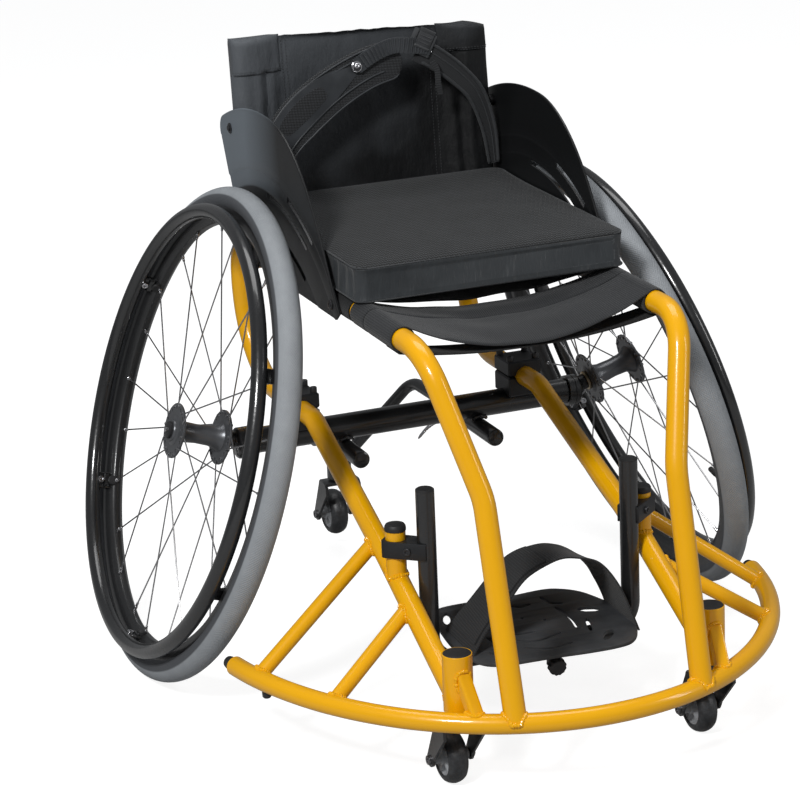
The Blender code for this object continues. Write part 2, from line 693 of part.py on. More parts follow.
def build_receiver_lever(side, name):
    """Quick-release lever under the receiver's rear end; its eye turns about Y."""
    lug_bottom = RECEIVER_Z - RECEIVER_R - LUG_DROP
    y = RECEIVER_REAR - LUG_LENGTH / 2 - 0.002
    pivot = empty("lever_pivot_" + name,
                  Matrix.Translation((side * RECEIVER_X, y, lug_bottom - GAP - LEVER_EYE_R)), ROOT)
    eye = turned("antitip_lever_" + name, rod_profile(LEVER_EYE_R, LEVER_WIDTH / 2, -LEVER_WIDTH / 2),
                 STEEL, along_y(), pivot, steps=16)
    top, bottom = [], []
    for i in range(6):
        t = i / 5
        u = -side * LEVER_REACH * t
        v = -0.012 * t - 0.008 * t * t
        half = LEVER_THICKNESS / 2 * (1 - 0.45 * t)
        top.append((u, v + half))
        bottom.append((u, v - half))
    blade = as_mesh(plate("lever_blade_" + name, [top + bottom[::-1]], LEVER_WIDTH, STEEL,
                          along_y(), pivot))
    join(eye, blade)


def wheel_empty(side, name):
    """On the axle, in the wheel plane: local Z points outboard along the axle."""
    outward = (side * cos(CAMBER), 0, sin(CAMBER))
    upward = (-side * sin(CAMBER), 0, cos(CAMBER))
    forward = Vector(upward).cross(Vector(outward))
    return empty("wheel_axis_" + name, axes(forward, upward, outward, (side * WHEEL_X, 0, WHEEL_Z)), ROOT)


def build_hub(name, axis):
    """Hub shell with two flanges and its laced spokes, one piece."""
    half = HUB_FLANGE_THICKNESS / 2
    rounded = HUB_FLANGE_R - 0.001
    outer, inner = HUB_OUTER_FLANGE_Z, HUB_INNER_FLANGE_Z
    profile = [(HUB_BORE_R, HUB_OUTER_END_Z), (HUB_NOSE_R, HUB_OUTER_END_Z),
               (HUB_CAP_R, outer + half + 0.002), (rounded, outer + half), (HUB_FLANGE_R, outer),
               (rounded, outer - half), (HUB_ROOT_R, outer - half - 0.001),
               (HUB_WAIST_R, HUB_WAIST[0]), (HUB_WAIST_R, HUB_WAIST[1]),
               (HUB_ROOT_R, inner + half + 0.001), (rounded, inner + half), (HUB_FLANGE_R, inner),
               (rounded, inner - half), (HUB_CAP_R, HUB_INNER_END_Z), (HUB_BORE_R, HUB_INNER_END_Z)]
    hub = turned("hub_" + name, profile, BLACK, Matrix(), axis, steps=16)
    lacing = bmesh.new()
    pitch = FULL_TURN / SPOKES_PER_FLANGE
    seat = HUB_FLANGE_R - SPOKE_HEAD_INSET
    reach = RIM_INNER_R * cos(pi / WHEEL_STEPS) - GAP
    for flange, toward in ((outer, 1), (inner, -1)):
        for i in range(SPOKES_PER_FLANGE):
            lead = 1 if i % 2 else -1
            phase = pitch * (i + (0.5 if toward < 0 else 0))
            at_rim = phase + lead * SPOKE_SWEEP
            start = Vector((seat * cos(phase), seat * sin(phase), flange + 0.7 * SPOKE_R * lead))
            rim_z = toward * (SPOKE_TOWARD_FLANGE + SPOKE_SPREAD * lead)
            end = Vector((reach * cos(at_rim), reach * sin(at_rim), rim_z))
            direction = end - start
            turn = direction.to_track_quat("Z", "Y").to_matrix().to_4x4()
            turn.translation = (start + end) / 2
            bmesh.ops.create_cone(lacing, cap_ends=True, segments=4, radius1=SPOKE_R, radius2=SPOKE_R,
                                  depth=direction.length - 0.001, matrix=turn)
    mesh = bpy.data.meshes.new("spokes_" + name)
    lacing.to_mesh(mesh)
    lacing.free()
    join(hub, new_object("spokes_" + name, mesh, STEEL, Matrix(), axis))


def build_wheel(side, name):
    """Tyre, rim, hub with spokes, and hand rim, all turning about the cambered axle."""
    axis = wheel_empty(side, name)
    section = ring(TYRE_SECTION_R, TYRE_CENTRE_R, 0, 10, -CAMBER)
    tyre = [(max(r, RIM_SEAT_R), z) for r, z in section]
    tyre = [point for i, point in enumerate(tyre) if point[0] > RIM_SEAT_R or 0.006 < abs(point[1])]
    turned("tyre_" + name, tyre, TYRE, Matrix(), axis, WHEEL_STEPS)
    seat = RIM_SEAT_R - GAP
    shoulder = RIM_SEAT_R - RIM_SHOULDER
    turned("rim_" + name,
           [(seat, RIM_HALF_WIDTH), (seat, -RIM_HALF_WIDTH), (shoulder, -RIM_HALF_WIDTH),
            (RIM_INNER_R, -RIM_HALF_FLAT), (RIM_INNER_R, RIM_HALF_FLAT), (shoulder, RIM_HALF_WIDTH)],
           BLACK, Matrix(), axis, WHEEL_STEPS)
    build_hub(name, axis)
    hand_rim = turned("hand_rim_" + name, ring(HAND_RIM_TUBE_R, HAND_RIM_R, HAND_RIM_OFFSET, 6),
                      BLACK, Matrix(), axis, WHEEL_STEPS)
    tabs = bmesh.new()
    low = RIM_HALF_WIDTH + GAP
    high = HAND_RIM_OFFSET - 0.6 * HAND_RIM_TUBE_R
    for i in range(HAND_RIM_TABS):
        spin = Matrix.Rotation(FULL_TURN * (i + 0.5) / HAND_RIM_TABS, 4, "Z")
        shift = Matrix.Translation((HAND_RIM_R - 0.001, 0, (low + high) / 2))
        size = Matrix.Diagonal((TAB_THICKNESS, TAB_WIDTH, high - low, 1))
        bmesh.ops.create_cube(tabs, size=1, matrix=spin @ shift @ size)
    mesh = bpy.data.meshes.new("hand_rim_tabs_" + name)
    tabs.to_mesh(mesh)
    tabs.free()
    join(hand_rim, new_object("hand_rim_tabs_" + name, mesh, BLACK, Matrix(), axis))


def build_axle(side, name):
    """Camber plug in the cross tube with the tilted quick-release axle and its button."""
    plug_place = axes((0, side, 0), (0, 0, 1), (side, 0, 0), (side * CAMBER_TUBE_HALF, 0, CAMBER_Z))
    plug = turned("axle_" + name,
                  [(0, GAP + COLLAR_THICKNESS), (COLLAR_R - 0.003, GAP + COLLAR_THICKNESS),
                   (COLLAR_R, GAP + COLLAR_THICKNESS - 0.003), (COLLAR_R, GAP),
                   (CAMBER_BORE_R - GAP, GAP), (CAMBER_BORE_R - GAP, 0.004 - CAMBER_BORE_DEPTH),
                   (0, 0.004 - CAMBER_BORE_DEPTH)], BLACK, plug_place, steps=16)
    outward = (side * cos(CAMBER), 0, sin(CAMBER))
    upward = (-side * sin(CAMBER), 0, cos(CAMBER))
    forward = Vector(upward).cross(Vector(outward))
    centre = axes(forward, upward, outward, (side * WHEEL_X, 0, WHEEL_Z))
    head = HUB_OUTER_END_Z + GAP
    end = head + AXLE_HEAD_THICKNESS
    pin = turned("axle_pin_" + name,
                 [(0, end - 0.007), (BUTTON_R + GAP, end - 0.007), (BUTTON_R + GAP, end),
                  (AXLE_HEAD_R - 0.001, end), (AXLE_HEAD_R, end - 0.001), (AXLE_HEAD_R, head),
                  (AXLE_R, head), (AXLE_R, HUB_INNER_END_Z - GAP), (SPACER_R, HUB_INNER_END_Z - GAP),
                  (SPACER_R, HUB_INNER_END_Z - SPACER_LENGTH),
                  (AXLE_R, HUB_INNER_END_Z - SPACER_LENGTH - 0.002),
                  (AXLE_R, HUB_INNER_END_Z - AXLE_INSERT), (0, HUB_INNER_END_Z - AXLE_INSERT)],
                 STEEL, centre @ Matrix.Rotation(SKEW, 4, "Z"), steps=14)
    join(plug, pin)
    button_place = empty("button_" + name, centre @ Matrix.Translation((0, 0, end)), ROOT)
    turned("axle_button_" + name,
           [(0, BUTTON_STANDS_OUT), (BUTTON_R - 0.0008, BUTTON_STANDS_OUT),
            (BUTTON_R, BUTTON_STANDS_OUT - 0.0008), (BUTTON_R, BUTTON_TRAVEL + GAP - 0.007 + 0.001),
            (0, BUTTON_TRAVEL + GAP - 0.007 + 0.001)], STEEL, Matrix(), button_place, steps=12)


# Casters

def build_caster(name, fork_name, x, y, trail, lift, stem_top):
    """A fork that swivels about a vertical stem, with its wheel behind the stem."""
    swivel = empty("swivel_" + name, Matrix.Translation((x, y, lift)), ROOT)
    eye = [(trail + FORK_EYE_R * cos(radians(a)), CASTER_R + FORK_EYE_R * sin(radians(a)))
           for a in range(15, -196, -30)]
    outline = [(-FORK_CROWN_HALF_Y, FORK_CROWN_Z - 0.012), (-FORK_CROWN_HALF_Y + 0.005, FORK_CROWN_Z),
               (FORK_CROWN_HALF_Y - 0.003, FORK_CROWN_Z), (FORK_CROWN_HALF_Y, FORK_CROWN_Z - 0.006)] + eye
    fork = as_mesh(plate(fork_name, [outline], 2 * (FORK_INNER_HALF + FORK_LEG), BLACK, along_x(), swivel))
    slot = block(fork_name + "_slot", (-FORK_INNER_HALF, -0.06, -0.01),
                 (FORK_INNER_HALF, 0.08, FORK_CROWN_Z - FORK_CROWN_THICKNESS), BLACK, Matrix(), swivel)
    low = FORK_CROWN_Z - 0.002
    top = stem_top - lift
    lower_race = FORK_CROWN_Z + 0.0012 + (HOUSING_BOTTOM - FORK_CROWN_Z if lift == 0 else 0.002)
    stem = turned(fork_name + "_stem",
                  [(0, top), (BEARING_R, top), (BEARING_R, top - BEARING_HEIGHT),
                   (STEM_R, top - BEARING_HEIGHT), (STEM_R, lower_race + BEARING_HEIGHT),
                   (BEARING_R, lower_race + BEARING_HEIGHT), (BEARING_R, lower_race),
                   (STEM_R + 0.002, lower_race), (STEM_R + 0.002, low), (0, low)],
                  STEEL, Matrix.Rotation(SKEW, 4, "Z"), swivel, steps=12)
    reach = FORK_INNER_HALF + FORK_LEG + BOLT_HEAD
    bolt = turned(fork_name + "_bolt",
                  [(0, reach), (BOLT_HEAD_R, reach), (BOLT_HEAD_R, reach - BOLT_HEAD - 0.001),
                   (FORK_BOLT_R, reach - BOLT_HEAD - 0.001), (FORK_BOLT_R, BOLT_HEAD + 0.001 - reach),
                   (BOLT_HEAD_R, BOLT_HEAD + 0.001 - reach), (BOLT_HEAD_R, -reach), (0, -reach)],
                  STEEL, along_x((0, trail, CASTER_R)), swivel, steps=8)
    cut(fork, slot)
    join(fork, stem, bolt)
    hub = empty("caster_axis_" + name, Matrix.Translation((0, trail, CASTER_R)), swivel)
    half = CASTER_HALF_WIDTH
    end = FORK_INNER_HALF - CASTER_PLAY
    right = [(CASTER_BORE_R, end), (CASTER_SPACER_R, end), (CASTER_SPACER_R, half + 0.002),
             (0.008, half + 0.002), (0.0095, half - 0.002), (0.0195, half - 0.002), (0.0215, half),
             (0.0290, 0.65 * half)]
    left = [(r, -across) for r, across in right[::-1]]
    turned("caster_wheel_" + name, right + [(CASTER_R, 0)] + left, CASTER_TYRE, along_x(), hub, steps=16)


def build_antitip_arm():
    """Bent tube that slides in both receivers and meets at the rear caster's housing."""
    half = [((RECEIVER_X, ARM_INSERT_Y, RECEIVER_Z), 0),
            ((RECEIVER_X, RECEIVER_REAR + 0.016, RECEIVER_Z), 0.020),
            (ARM_TURN, 0.030),
            ((0.0, ANTITIP_Y - 0.004, ARM_MEETS_Z), 0)]
    top = ANTITIP_LIFT + FORK_CROWN_Z + 0.002 + ANTITIP_HOUSING_HEIGHT
    bottom = ANTITIP_LIFT + FORK_CROWN_Z + 0.002
    place_at = Matrix.Translation((0, ANTITIP_Y, 0))
    housing = turned("antitip_arm", rod_profile(ANTITIP_HOUSING_R, top, bottom), BLACK, place_at)
    for side, name in ((-1, "left"), (1, "right")):
        path = on_side(rounded_path(half), side)
        join(housing, as_mesh(tube("antitip_tube_" + name, path, ARM_R, BLACK, SMALL_TUBE_SIDES)))
    cut(housing, turned("antitip_bore", rod_profile(HOUSING_BORE_R, top - 0.004, bottom - 0.01), BLACK,
                        place_at))
    return top


# Footrest

def build_footrest():
    """U tube in two clamps, with the tilting plate, its bracket, knob and strap."""
    corners = [((-FOOT_TUBE_X, FOOT_TUBE_Y, FOOT_TUBE_TOP), 0),
               ((-FOOT_TUBE_X, FOOT_TUBE_Y, FOOT_BAR_Z), FOOT_BEND_R),
               ((FOOT_TUBE_X, FOOT_TUBE_Y, FOOT_BAR_Z), FOOT_BEND_R),
               ((FOOT_TUBE_X, FOOT_TUBE_Y, FOOT_TUBE_TOP), 0)]
    tube("footrest_tube", rounded_path(corners), FOOT_TUBE_R, BLACK)
    for side, name in ((-1, "left"), (1, "right")):
        build_foot_clamp(side, name)
    build_footplate()


def build_foot_clamp(side, name):
    """Two-eye clamp: one eye on the frame's post, the other on the footrest tube."""
    post = Vector((side * HOUSING_X, POST_Y))
    foot = Vector((side * FOOT_TUBE_X, FOOT_TUBE_Y))
    line = foot - post
    heading = atan2(line.y, line.x)
    post_r = POST_R + GAP + POST_EYE_WALL
    foot_r = FOOT_TUBE_R + GAP + FOOT_EYE_WALL
    lean = acos((post_r - foot_r) / line.length)
    outline = []
    for centre, radius, first, last in ((foot, foot_r, heading - lean, heading + lean),
                                        (post, post_r, heading + lean, heading - lean + FULL_TURN)):
        outline += [(centre.x + radius * cos(first + (last - first) * i / 8),
                     centre.y + radius * sin(first + (last - first) * i / 8)) for i in range(9)]
    middle = (FOOT_CLAMP_BOTTOM + FOOT_CLAMP_TOP) / 2
    plate("footrest_clamp_" + name,
          [outline, circle(POST_R + GAP, 14, post), circle(FOOT_TUBE_R + GAP, 14, foot)],
          FOOT_CLAMP_TOP - FOOT_CLAMP_BOTTOM, BLACK, Matrix.Translation((0, 0, middle)))


def plate_outline():
    """Footplate seen from above: narrow heel side, wide toe side, rounded corners."""
    corners = [((0, PLATE_REAR_Y + 0.004, 0), 0),
               ((PLATE_HALF_REAR, PLATE_REAR_Y, 0), 0.022),
               ((PLATE_HALF_REAR + 0.012, FOOT_TUBE_Y + 0.010, 0), 0.030),
               ((PLATE_HALF_FRONT, FOOT_TUBE_Y - 0.022, 0), 0.014),
               ((PLATE_HALF_FRONT - 0.012, PLATE_FRONT_Y, 0), 0.030),
               ((0, PLATE_FRONT_Y, 0), 0)]
    right = rounded_path(corners)[:-1]
    return [(p.x, p.y) for p in right] + [(-p.x, p.y) for p in right[:0:-1]]


def build_footplate():
    """Thin moulded plate that tilts on the cross bar; slots and ribs on its top."""
    tilt = Matrix.Rotation(PLATE_TILT, 4, "X")
    pivot = empty("footplate_pivot", Matrix.Translation((0, FOOT_TUBE_Y, FOOT_BAR_Z)), ROOT)
    lift = PLATE_MID_Z - FOOT_BAR_Z
    outline = [(u, v - FOOT_TUBE_Y) for u, v in plate_outline()]
    place_at = tilt @ Matrix.Translation((0, 0, lift + PLATE_THICKNESS / 2))
    foot_plate = as_mesh(plate("footplate", [outline], PLATE_THICKNESS, SATIN, place_at, pivot))
    for side in (-1, 1):
        for number, (u, v, turn) in enumerate(PLATE_SLOTS):
            outline = rounded_path([((-PLATE_SLOT[0], 0, 0), 0),
                                    ((-PLATE_SLOT[0], PLATE_SLOT[1], 0), PLATE_SLOT[0] * 0.99),
                                    ((PLATE_SLOT[0], PLATE_SLOT[1], 0), PLATE_SLOT[0] * 0.99),
                                    ((PLATE_SLOT[0], 0, 0), 0)])
            outline = [(p.x, p.y) for p in outline] + [(-p.x, -p.y) for p in outline[1:-1]]
            slot = plate("plate_slot_%d_%d" % (side, number), [outline], 0.03, SATIN,
                         place_at @ Matrix.Translation((side * u, v, 0))
                         @ Matrix.Rotation(side * radians(turn), 4, "Z"), pivot)
            cut(foot_plate, as_mesh(slot))
    for number in range(PLATE_RIBS):
        arc = [(x / 100, -0.028 - 0.011 * number - 0.009 * (x / 4) ** 2) for x in range(-4, 5)]
        outline = [(u, v + RIB_SIZE) for u, v in arc] + [(u, v - RIB_SIZE) for u, v in arc[::-1]]
        rib = plate("plate_rib_%d" % number, [outline], 2 * RIB_SIZE, SATIN,
                    place_at @ Matrix.Translation((0, 0, PLATE_THICKNESS / 2)), pivot)
        join(foot_plate, as_mesh(rib))

    eye = turned("footplate_bracket",
                 [(FOOT_TUBE_R + GAP, BRACKET_HALF_WIDTH), (FOOT_TUBE_R + BRACKET_WALL, BRACKET_HALF_WIDTH),
                  (FOOT_TUBE_R + BRACKET_WALL, -BRACKET_HALF_WIDTH),
                  (FOOT_TUBE_R + GAP, -BRACKET_HALF_WIDTH)], SATIN, along_x(), pivot, steps=20)
    arm = block("bracket_arm", (-BRACKET_HALF_WIDTH * 0.6, KNOB_Y - FOOT_TUBE_Y + 0.012, lift - 0.0075),
                (BRACKET_HALF_WIDTH * 0.6, -FOOT_TUBE_R - GAP - 0.001, lift - GAP), SATIN, tilt, pivot)
    pad = block("bracket_pad", (-BRACKET_HALF_WIDTH, -0.018, FOOT_TUBE_R + 0.002),
                (BRACKET_HALF_WIDTH, 0.018, lift - GAP), SATIN, tilt, pivot)
    drop = block("bracket_drop", (-0.006, KNOB_Y - FOOT_TUBE_Y + 0.006, lift - KNOB_DROP - 0.005),
                 (0.006, KNOB_Y - FOOT_TUBE_Y + 0.016, lift - 0.002), SATIN, tilt, pivot)
    join(eye, arm, pad, drop)
    knob_place = empty("knob_axis", tilt @ Matrix.Translation((0, KNOB_Y - FOOT_TUBE_Y, lift - KNOB_DROP)),
                       pivot)
    turned("footplate_knob",
           [(0, KNOB_HALF_LENGTH), (KNOB_R - 0.002, KNOB_HALF_LENGTH), (KNOB_R, KNOB_HALF_LENGTH - 0.002),
            (KNOB_R, -0.005), (0, -0.005)], PLUG, along_y(), knob_place, steps=20)


def ribbon(name, centres, widths, thickness, surface, edge_on=False):
    """A strap along a line: its width lies along Y, or its thickness does if it is edge on."""
    shape = bmesh.new()
    rows = []
    for i, (centre, width) in enumerate(zip(centres, widths)):
        ahead = (centres[min(i + 1, len(centres) - 1)] - centres[max(i - 1, 0)]).normalized()
        square = ahead.cross(Vector((0, 1, 0))).normalized()
        level = square.cross(ahead)
        wide, thick = (square, level) if edge_on else (level, square)
        wide, thick = wide * width / 2, thick * thickness / 2
        rows.append([shape.verts.new(centre + wide + thick), shape.verts.new(centre - wide + thick),
                     shape.verts.new(centre - wide - thick), shape.verts.new(centre + wide - thick)])
    for a, b in zip(rows, rows[1:]):
        for i in range(4):
            shape.faces.new((a[i], a[(i + 1) % 4], b[(i + 1) % 4], b[i]))
    shape.faces.new(rows[0][::-1])
    shape.faces.new(rows[-1])
    bmesh.ops.recalc_face_normals(shape, faces=shape.faces)
    mesh = bpy.data.meshes.new(name)
    shape.to_mesh(mesh)
    shape.free()
    return new_object(name, mesh, surface)


def build_foot_strap():
    """Webbing arch over the footplate."""
    base = PLATE_MID_Z + PLATE_THICKNESS + FOOT_STRAP_LIFT
    along = ((0, 0), (0.030, 0.40), (0.067, 0.78), (0.113, 1), (-0.045, 0.90), (-0.012, 0.50), (0, 0))
    points = []
    for i, (inset, rise) in enumerate(along):
        end = -FOOT_STRAP_HALF if i < 4 else FOOT_STRAP_HALF
        points.append(Vector((end + inset, FOOT_TUBE_Y + 0.005 * rise - 0.002,
                              base + (FOOT_STRAP_TOP - base) * rise)))
    path = smooth_path(points, 3)
    ribbon("foot_strap", path, [FOOT_STRAP_WIDTH] * len(path), STRAP_THICKNESS, WEBBING)


# Seat and back

def sleeved_outline(half_span, bore_r, wall, sag, thickness):
    """Section of a cloth that is sewn round two tubes and hangs between them."""
    outer = bore_r + wall
    meet = asin(thickness / 2 / outer)
    section = []
    count = 14
    for i in range(count + 1):
        angle = pi - meet - (FULL_TURN - 2 * meet) * i / count
        section.append((half_span + outer * cos(angle), outer * sin(angle)))
    inside = half_span - outer * cos(meet)
    spans = 10
    below = []
    for i in range(1, spans):
        u = inside * (1 - 2 * i / spans)
        below.append((u, -thickness / 2 - sag * (1 - (u / inside) ** 2)))
    section += below
    for i in range(count + 1):
        angle = -meet - (FULL_TURN - 2 * meet) * i / count
        section.append((-half_span + outer * cos(angle), outer * sin(angle)))
    section += [(u, v + thickness) for u, v in below[::-1]]
    holes = [circle(bore_r, 14, (side * half_span, 0)) for side in (-1, 1)]
    return [section] + holes


def build_sling(name, span, sag):
    """Seat webbing sewn round both rails."""
    length = span[1] - span[0]
    outlines = sleeved_outline(RAIL_X, RAIL_R + GAP, CLOTH_WALL, sag, SLING_PANEL)
    plate(name, outlines, length, WEBBING, along_y((0, (span[0] + span[1]) / 2, SEAT_RAIL_Z)))


def build_back():
    """Canes in their sockets, with the canvas drawn over them."""
    for side, name in ((-1, "left"), (1, "right")):
        turned("back_cane_" + name,
               rod_profile(CANE_R, up_cane(CANE_TOP), up_cane(CANE_FOOT)), BLACK, cane_matrix(side),
               steps=20)
    outlines = sleeved_outline(RAIL_X, CANE_R + GAP, CLOTH_WALL, CANVAS_SAG, CANVAS_PANEL)
    lean = Matrix.Rotation(-CANE_LEAN, 4, "X")
    low, high = up_cane(CANVAS_BOTTOM), up_cane(CANVAS_TOP)
    place_at = (Matrix.Translation((0, CANE_Y, SEAT_RAIL_Z)) @ lean
                @ Matrix.Translation((0, 0, (low + high) / 2)) @ axes((-1, 0, 0), (0, -1, 0), (0, 0, 1)))
    plate("back_canvas", outlines, high - low, CLOTH, place_at)


def build_cushion():
    """Foam cushion with a crowned top and a side band that is drawn in a little."""
    low_y, high_y = CUSHION_Y
    base = SEAT_RAIL_Z + RAIL_R + GAP + CLOTH_WALL + GAP
    shape = bmesh.new()
    bmesh.ops.create_cube(shape, size=2)
    bmesh.ops.subdivide_edges(shape, edges=shape.edges, cuts=CUSHION_CUTS, use_grid_fill=True)
    for vertex in shape.verts:
        u, v, w = vertex.co
        edge = max(abs(u), abs(v))
        pull = CUSHION_PULL * (1 - w * w) if edge > 0.999 else 0
        crown = CUSHION_CROWN * (1 - u ** 4) * (1 - v ** 4) if w > 0.999 else 0
        vertex.co = Vector((u * (CUSHION_HALF_WIDTH - (pull if abs(u) > 0.999 else 0)),
                            (low_y + high_y) / 2
                            + v * ((high_y - low_y) / 2 - (pull if abs(v) > 0.999 else 0)),
                            base + CUSHION_HEIGHT * (w + 1) / 2 + crown))
    mesh = bpy.data.meshes.new("cushion")
    shape.to_mesh(mesh)
    shape.free()
    cushion = new_object("cushion", mesh, MESH_CLOTH)
    soften(cushion, 0.005, 2)


# Side guards

def guard_outer_r(angle):
    """Outer edge of a guard, as a distance from the wheel's centre."""
    t = (angle - GUARD_TAPER_ANGLE) / (GUARD_FRONT_ANGLE - GUARD_TAPER_ANGLE)
    t = min(max(t, 0), 1)
    edge = GUARD_R - (GUARD_R - GUARD_FRONT_R) * t * t * (3 - 2 * t)
    from_rear = (angle - GUARD_REAR_ANGLE) * GUARD_R
    if from_rear < GUARD_CORNER_R:
        edge -= GUARD_CORNER_R - sqrt(GUARD_CORNER_R ** 2 - (GUARD_CORNER_R - from_rear) ** 2)
    return edge


def cane_at_radius(radius):
    """Where a back cane's axis is that far from the wheel's centre: y and z."""
    low = CANE_Y - (SEAT_RAIL_Z - WHEEL_Z) * tan(CANE_LEAN)
    rise = (sqrt((radius / cos(CANE_LEAN)) ** 2 - low ** 2) - low * tan(CANE_LEAN)) * cos(CANE_LEAN) ** 2
    return low + rise * tan(CANE_LEAN), WHEEL_Z + rise


def guard_grid():
    """Angles and radii of the guard's surface, closer together at the rounded corner."""
    corner = GUARD_CORNER_R / GUARD_R
    angles = [GUARD_REAR_ANGLE + corner * t for t in (0, 0.12, 0.35, 0.65)]
    first = GUARD_REAR_ANGLE + corner
    angles += [first + (GUARD_FRONT_ANGLE - first) * i / (GUARD_COLUMNS - 4)
               for i in range(GUARD_COLUMNS - 3)]
    rows = []
    for angle in angles:
        bottom = (GUARD_BOTTOM_Z - WHEEL_Z) / sin(angle)
        outer = guard_outer_r(angle)
        radii = [bottom]
        for step in STEP_RADII:
            radii += [step - STEP_RUN / 2, step + STEP_RUN / 2]
        radii += [(STEP_RADII[-1] + outer) / 2, outer]
        rows.append([min(max(r, bottom), outer) for r in radii])
    return angles, rows


def build_guard(side, name):
    """Sheet stepped inward in terraces concentric with the wheel, with a slot under each step."""
    angles, rows = guard_grid()
    shape = bmesh.new()
    grid = []
    for angle, radii in zip(angles, rows):
        line = []
        for radius in radii:
            inset = sum(STEP_DEPTH for step in STEP_RADII if radius < step)
            line.append(shape.verts.new((side * (GUARD_X - inset), radius * cos(angle),
                                         WHEEL_Z + radius * sin(angle))))
        grid.append(line)
    for a, b in zip(grid, grid[1:]):
        for i in range(len(a) - 1):
            shape.faces.new((a[i], a[i + 1], b[i + 1], b[i]))
    bmesh.ops.remove_doubles(shape, verts=shape.verts, dist=0.0002)
    bmesh.ops.dissolve_degenerate(shape, dist=0.0001, edges=shape.edges)
    inner = bmesh.ops.extrude_face_region(shape, geom=shape.faces[:])["geom"]
    bmesh.ops.translate(shape, verts=[v for v in inner if isinstance(v, bmesh.types.BMVert)],
                        vec=(-side * GUARD_THICKNESS, 0, 0))
    bmesh.ops.recalc_face_normals(shape, faces=shape.faces)
    mesh = bpy.data.meshes.new("side_guard_" + name)
    shape.to_mesh(mesh)
    shape.free()
    guard = new_object("side_guard_" + name, mesh, SATIN)
    for number, (step, (first, last)) in enumerate(zip(STEP_RADII, SLOTS)):
        high = step - STEP_RUN / 2 - SLOT_SETBACK
        low = high - SLOT_WIDTH
        sweep = [radians(first + (last - first) * i / 7) for i in range(8)]
        outline = [(high * cos(a), high * sin(a)) for a in sweep]
        outline += [(low * cos(a), low * sin(a)) for a in sweep[::-1]]
        slot = plate("guard_slot_%s_%d" % (name, number), [outline], 0.03, SATIN,
                     along_x((side * GUARD_X, 0, WHEEL_Z)))
        cut(guard, as_mesh(slot))
    bosses = [(y, SEAT_RAIL_Z) for y in GUARD_BOSS_Y] + [cane_at_radius(GUARD_R - GUARD_BOSS_LAND)]
    for number, (y, z) in enumerate(bosses):
        inner = RAIL_X + RAIL_R + GAP + (CLOTH_WALL + GAP if z > SEAT_RAIL_Z + 0.05 else 0)
        radius = sqrt(y ** 2 + (z - WHEEL_Z) ** 2)
        inset = sum(STEP_DEPTH for step in STEP_RADII if radius < step)
        outer = GUARD_X - inset - 0.5 * GUARD_THICKNESS
        boss = turned("guard_boss_%s_%d" % (name, number),
                      rod_profile(GUARD_BOSS_R, outer, inner), SATIN,
                      axes((0, side, 0), (0, 0, 1), (side, 0, 0), (0, y, z)), steps=10)
        join(guard, boss)


# Lap belt

def build_belt():
    """Padded ratchet strap: pad on the left, narrow strap on the right, buckle near the top."""
    pad = smooth_path([(x, BELT_Y, z) for x, z in PAD_LINE], 3)
    last = len(pad) - 1
    widths = [PAD_FOOT_WIDTH + (PAD_WIDTH - PAD_FOOT_WIDTH) * min(1, 3 * i / last)
              - (PAD_WIDTH - PAD_HEAD_WIDTH) * max(0, (2 * i - last) / last) for i in range(last + 1)]
    ribbon("lap_pad_left", pad, widths, PAD_THICKNESS, MESH_CLOTH, edge_on=True)
    strap = smooth_path([(x, BELT_Y, z) for x, z in STRAP_LINE], 3)
    widths = [BELT_WIDTH + (BELT_FOOT_WIDTH - BELT_WIDTH) * (i / (len(strap) - 1)) ** 2
              for i in range(len(strap))]
    ribbon("lap_strap_right", strap, widths, BELT_THICKNESS, WEBBING, edge_on=True)
    tilt = Matrix.Rotation(-BUCKLE_ANGLE, 4, "Y")
    place_at = Matrix.Translation((BUCKLE_AT[0], BELT_Y, BUCKLE_AT[1])) @ tilt
    a, b, c = [size / 2 for size in BUCKLE_SIZE]
    body = block("ratchet_buckle", (-a, -b, -c), (a, b, c), SATIN, place_at)
    soften(body, 0.0015)
    slot = block("buckle_slot", (-a + 0.004, -b - 0.01, -c + 0.006), (a - 0.004, -b + 0.005, c + 0.01), SATIN,
                 place_at)
    cut(body, slot)
    pivot = empty("ratchet_pivot", place_at @ Matrix.Translation((0, -b + 0.001, -c + 0.0095)), ROOT)
    lever = block("ratchet_lever", (-a + 0.0045, -0.0028, 0), (a - 0.0045, 0.0028, BUCKLE_LEVER_LENGTH),
                  SATIN, Matrix(), pivot)
    soften(lever, 0.001)
    join(lever, turned("ratchet_barrel", rod_profile(BUCKLE_BARREL_R, a - 0.005, 0.005 - a), SATIN,
                       along_x(), pivot, steps=12))


BUMPER_CUTTER = build_bumper()
build_camber_tube()
for which, word in ((-1, "left"), (1, "right")):
    build_side_frame(which, word, BUMPER_CUTTER)
    build_struts(which, word, BUMPER_CUTTER)
    build_clamp(which, word)
    build_receiver_lever(which, word)
    build_wheel(which, word)
    build_axle(which, word)
    build_caster(word, "caster_fork_" + word, which * HOUSING_X, HOUSING_Y, CASTER_TRAIL, 0, STEM_TOP)
    build_guard(which, word)
HOUSING_LID = build_antitip_arm()
build_caster("rear", "antitip_fork", 0, ANTITIP_Y, ANTITIP_TRAIL, ANTITIP_LIFT, HOUSING_LID - 0.006)
build_footrest()
build_foot_strap()
build_back()
build_sling("sling_front", FRONT_BAND, FRONT_BAND_SAG)
build_sling("sling_main", MAIN_SLING, MAIN_SLING_SAG)
build_cushion()
build_belt()
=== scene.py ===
"""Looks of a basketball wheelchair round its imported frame. Metres, +Z up, the chair faces -Y."""
from collections import Counter
from math import acos, asin, ceil, cos, pi, radians, sin, sqrt, tan

import bmesh
import bpy
from mathutils import Matrix, Quaternion, Vector, noise


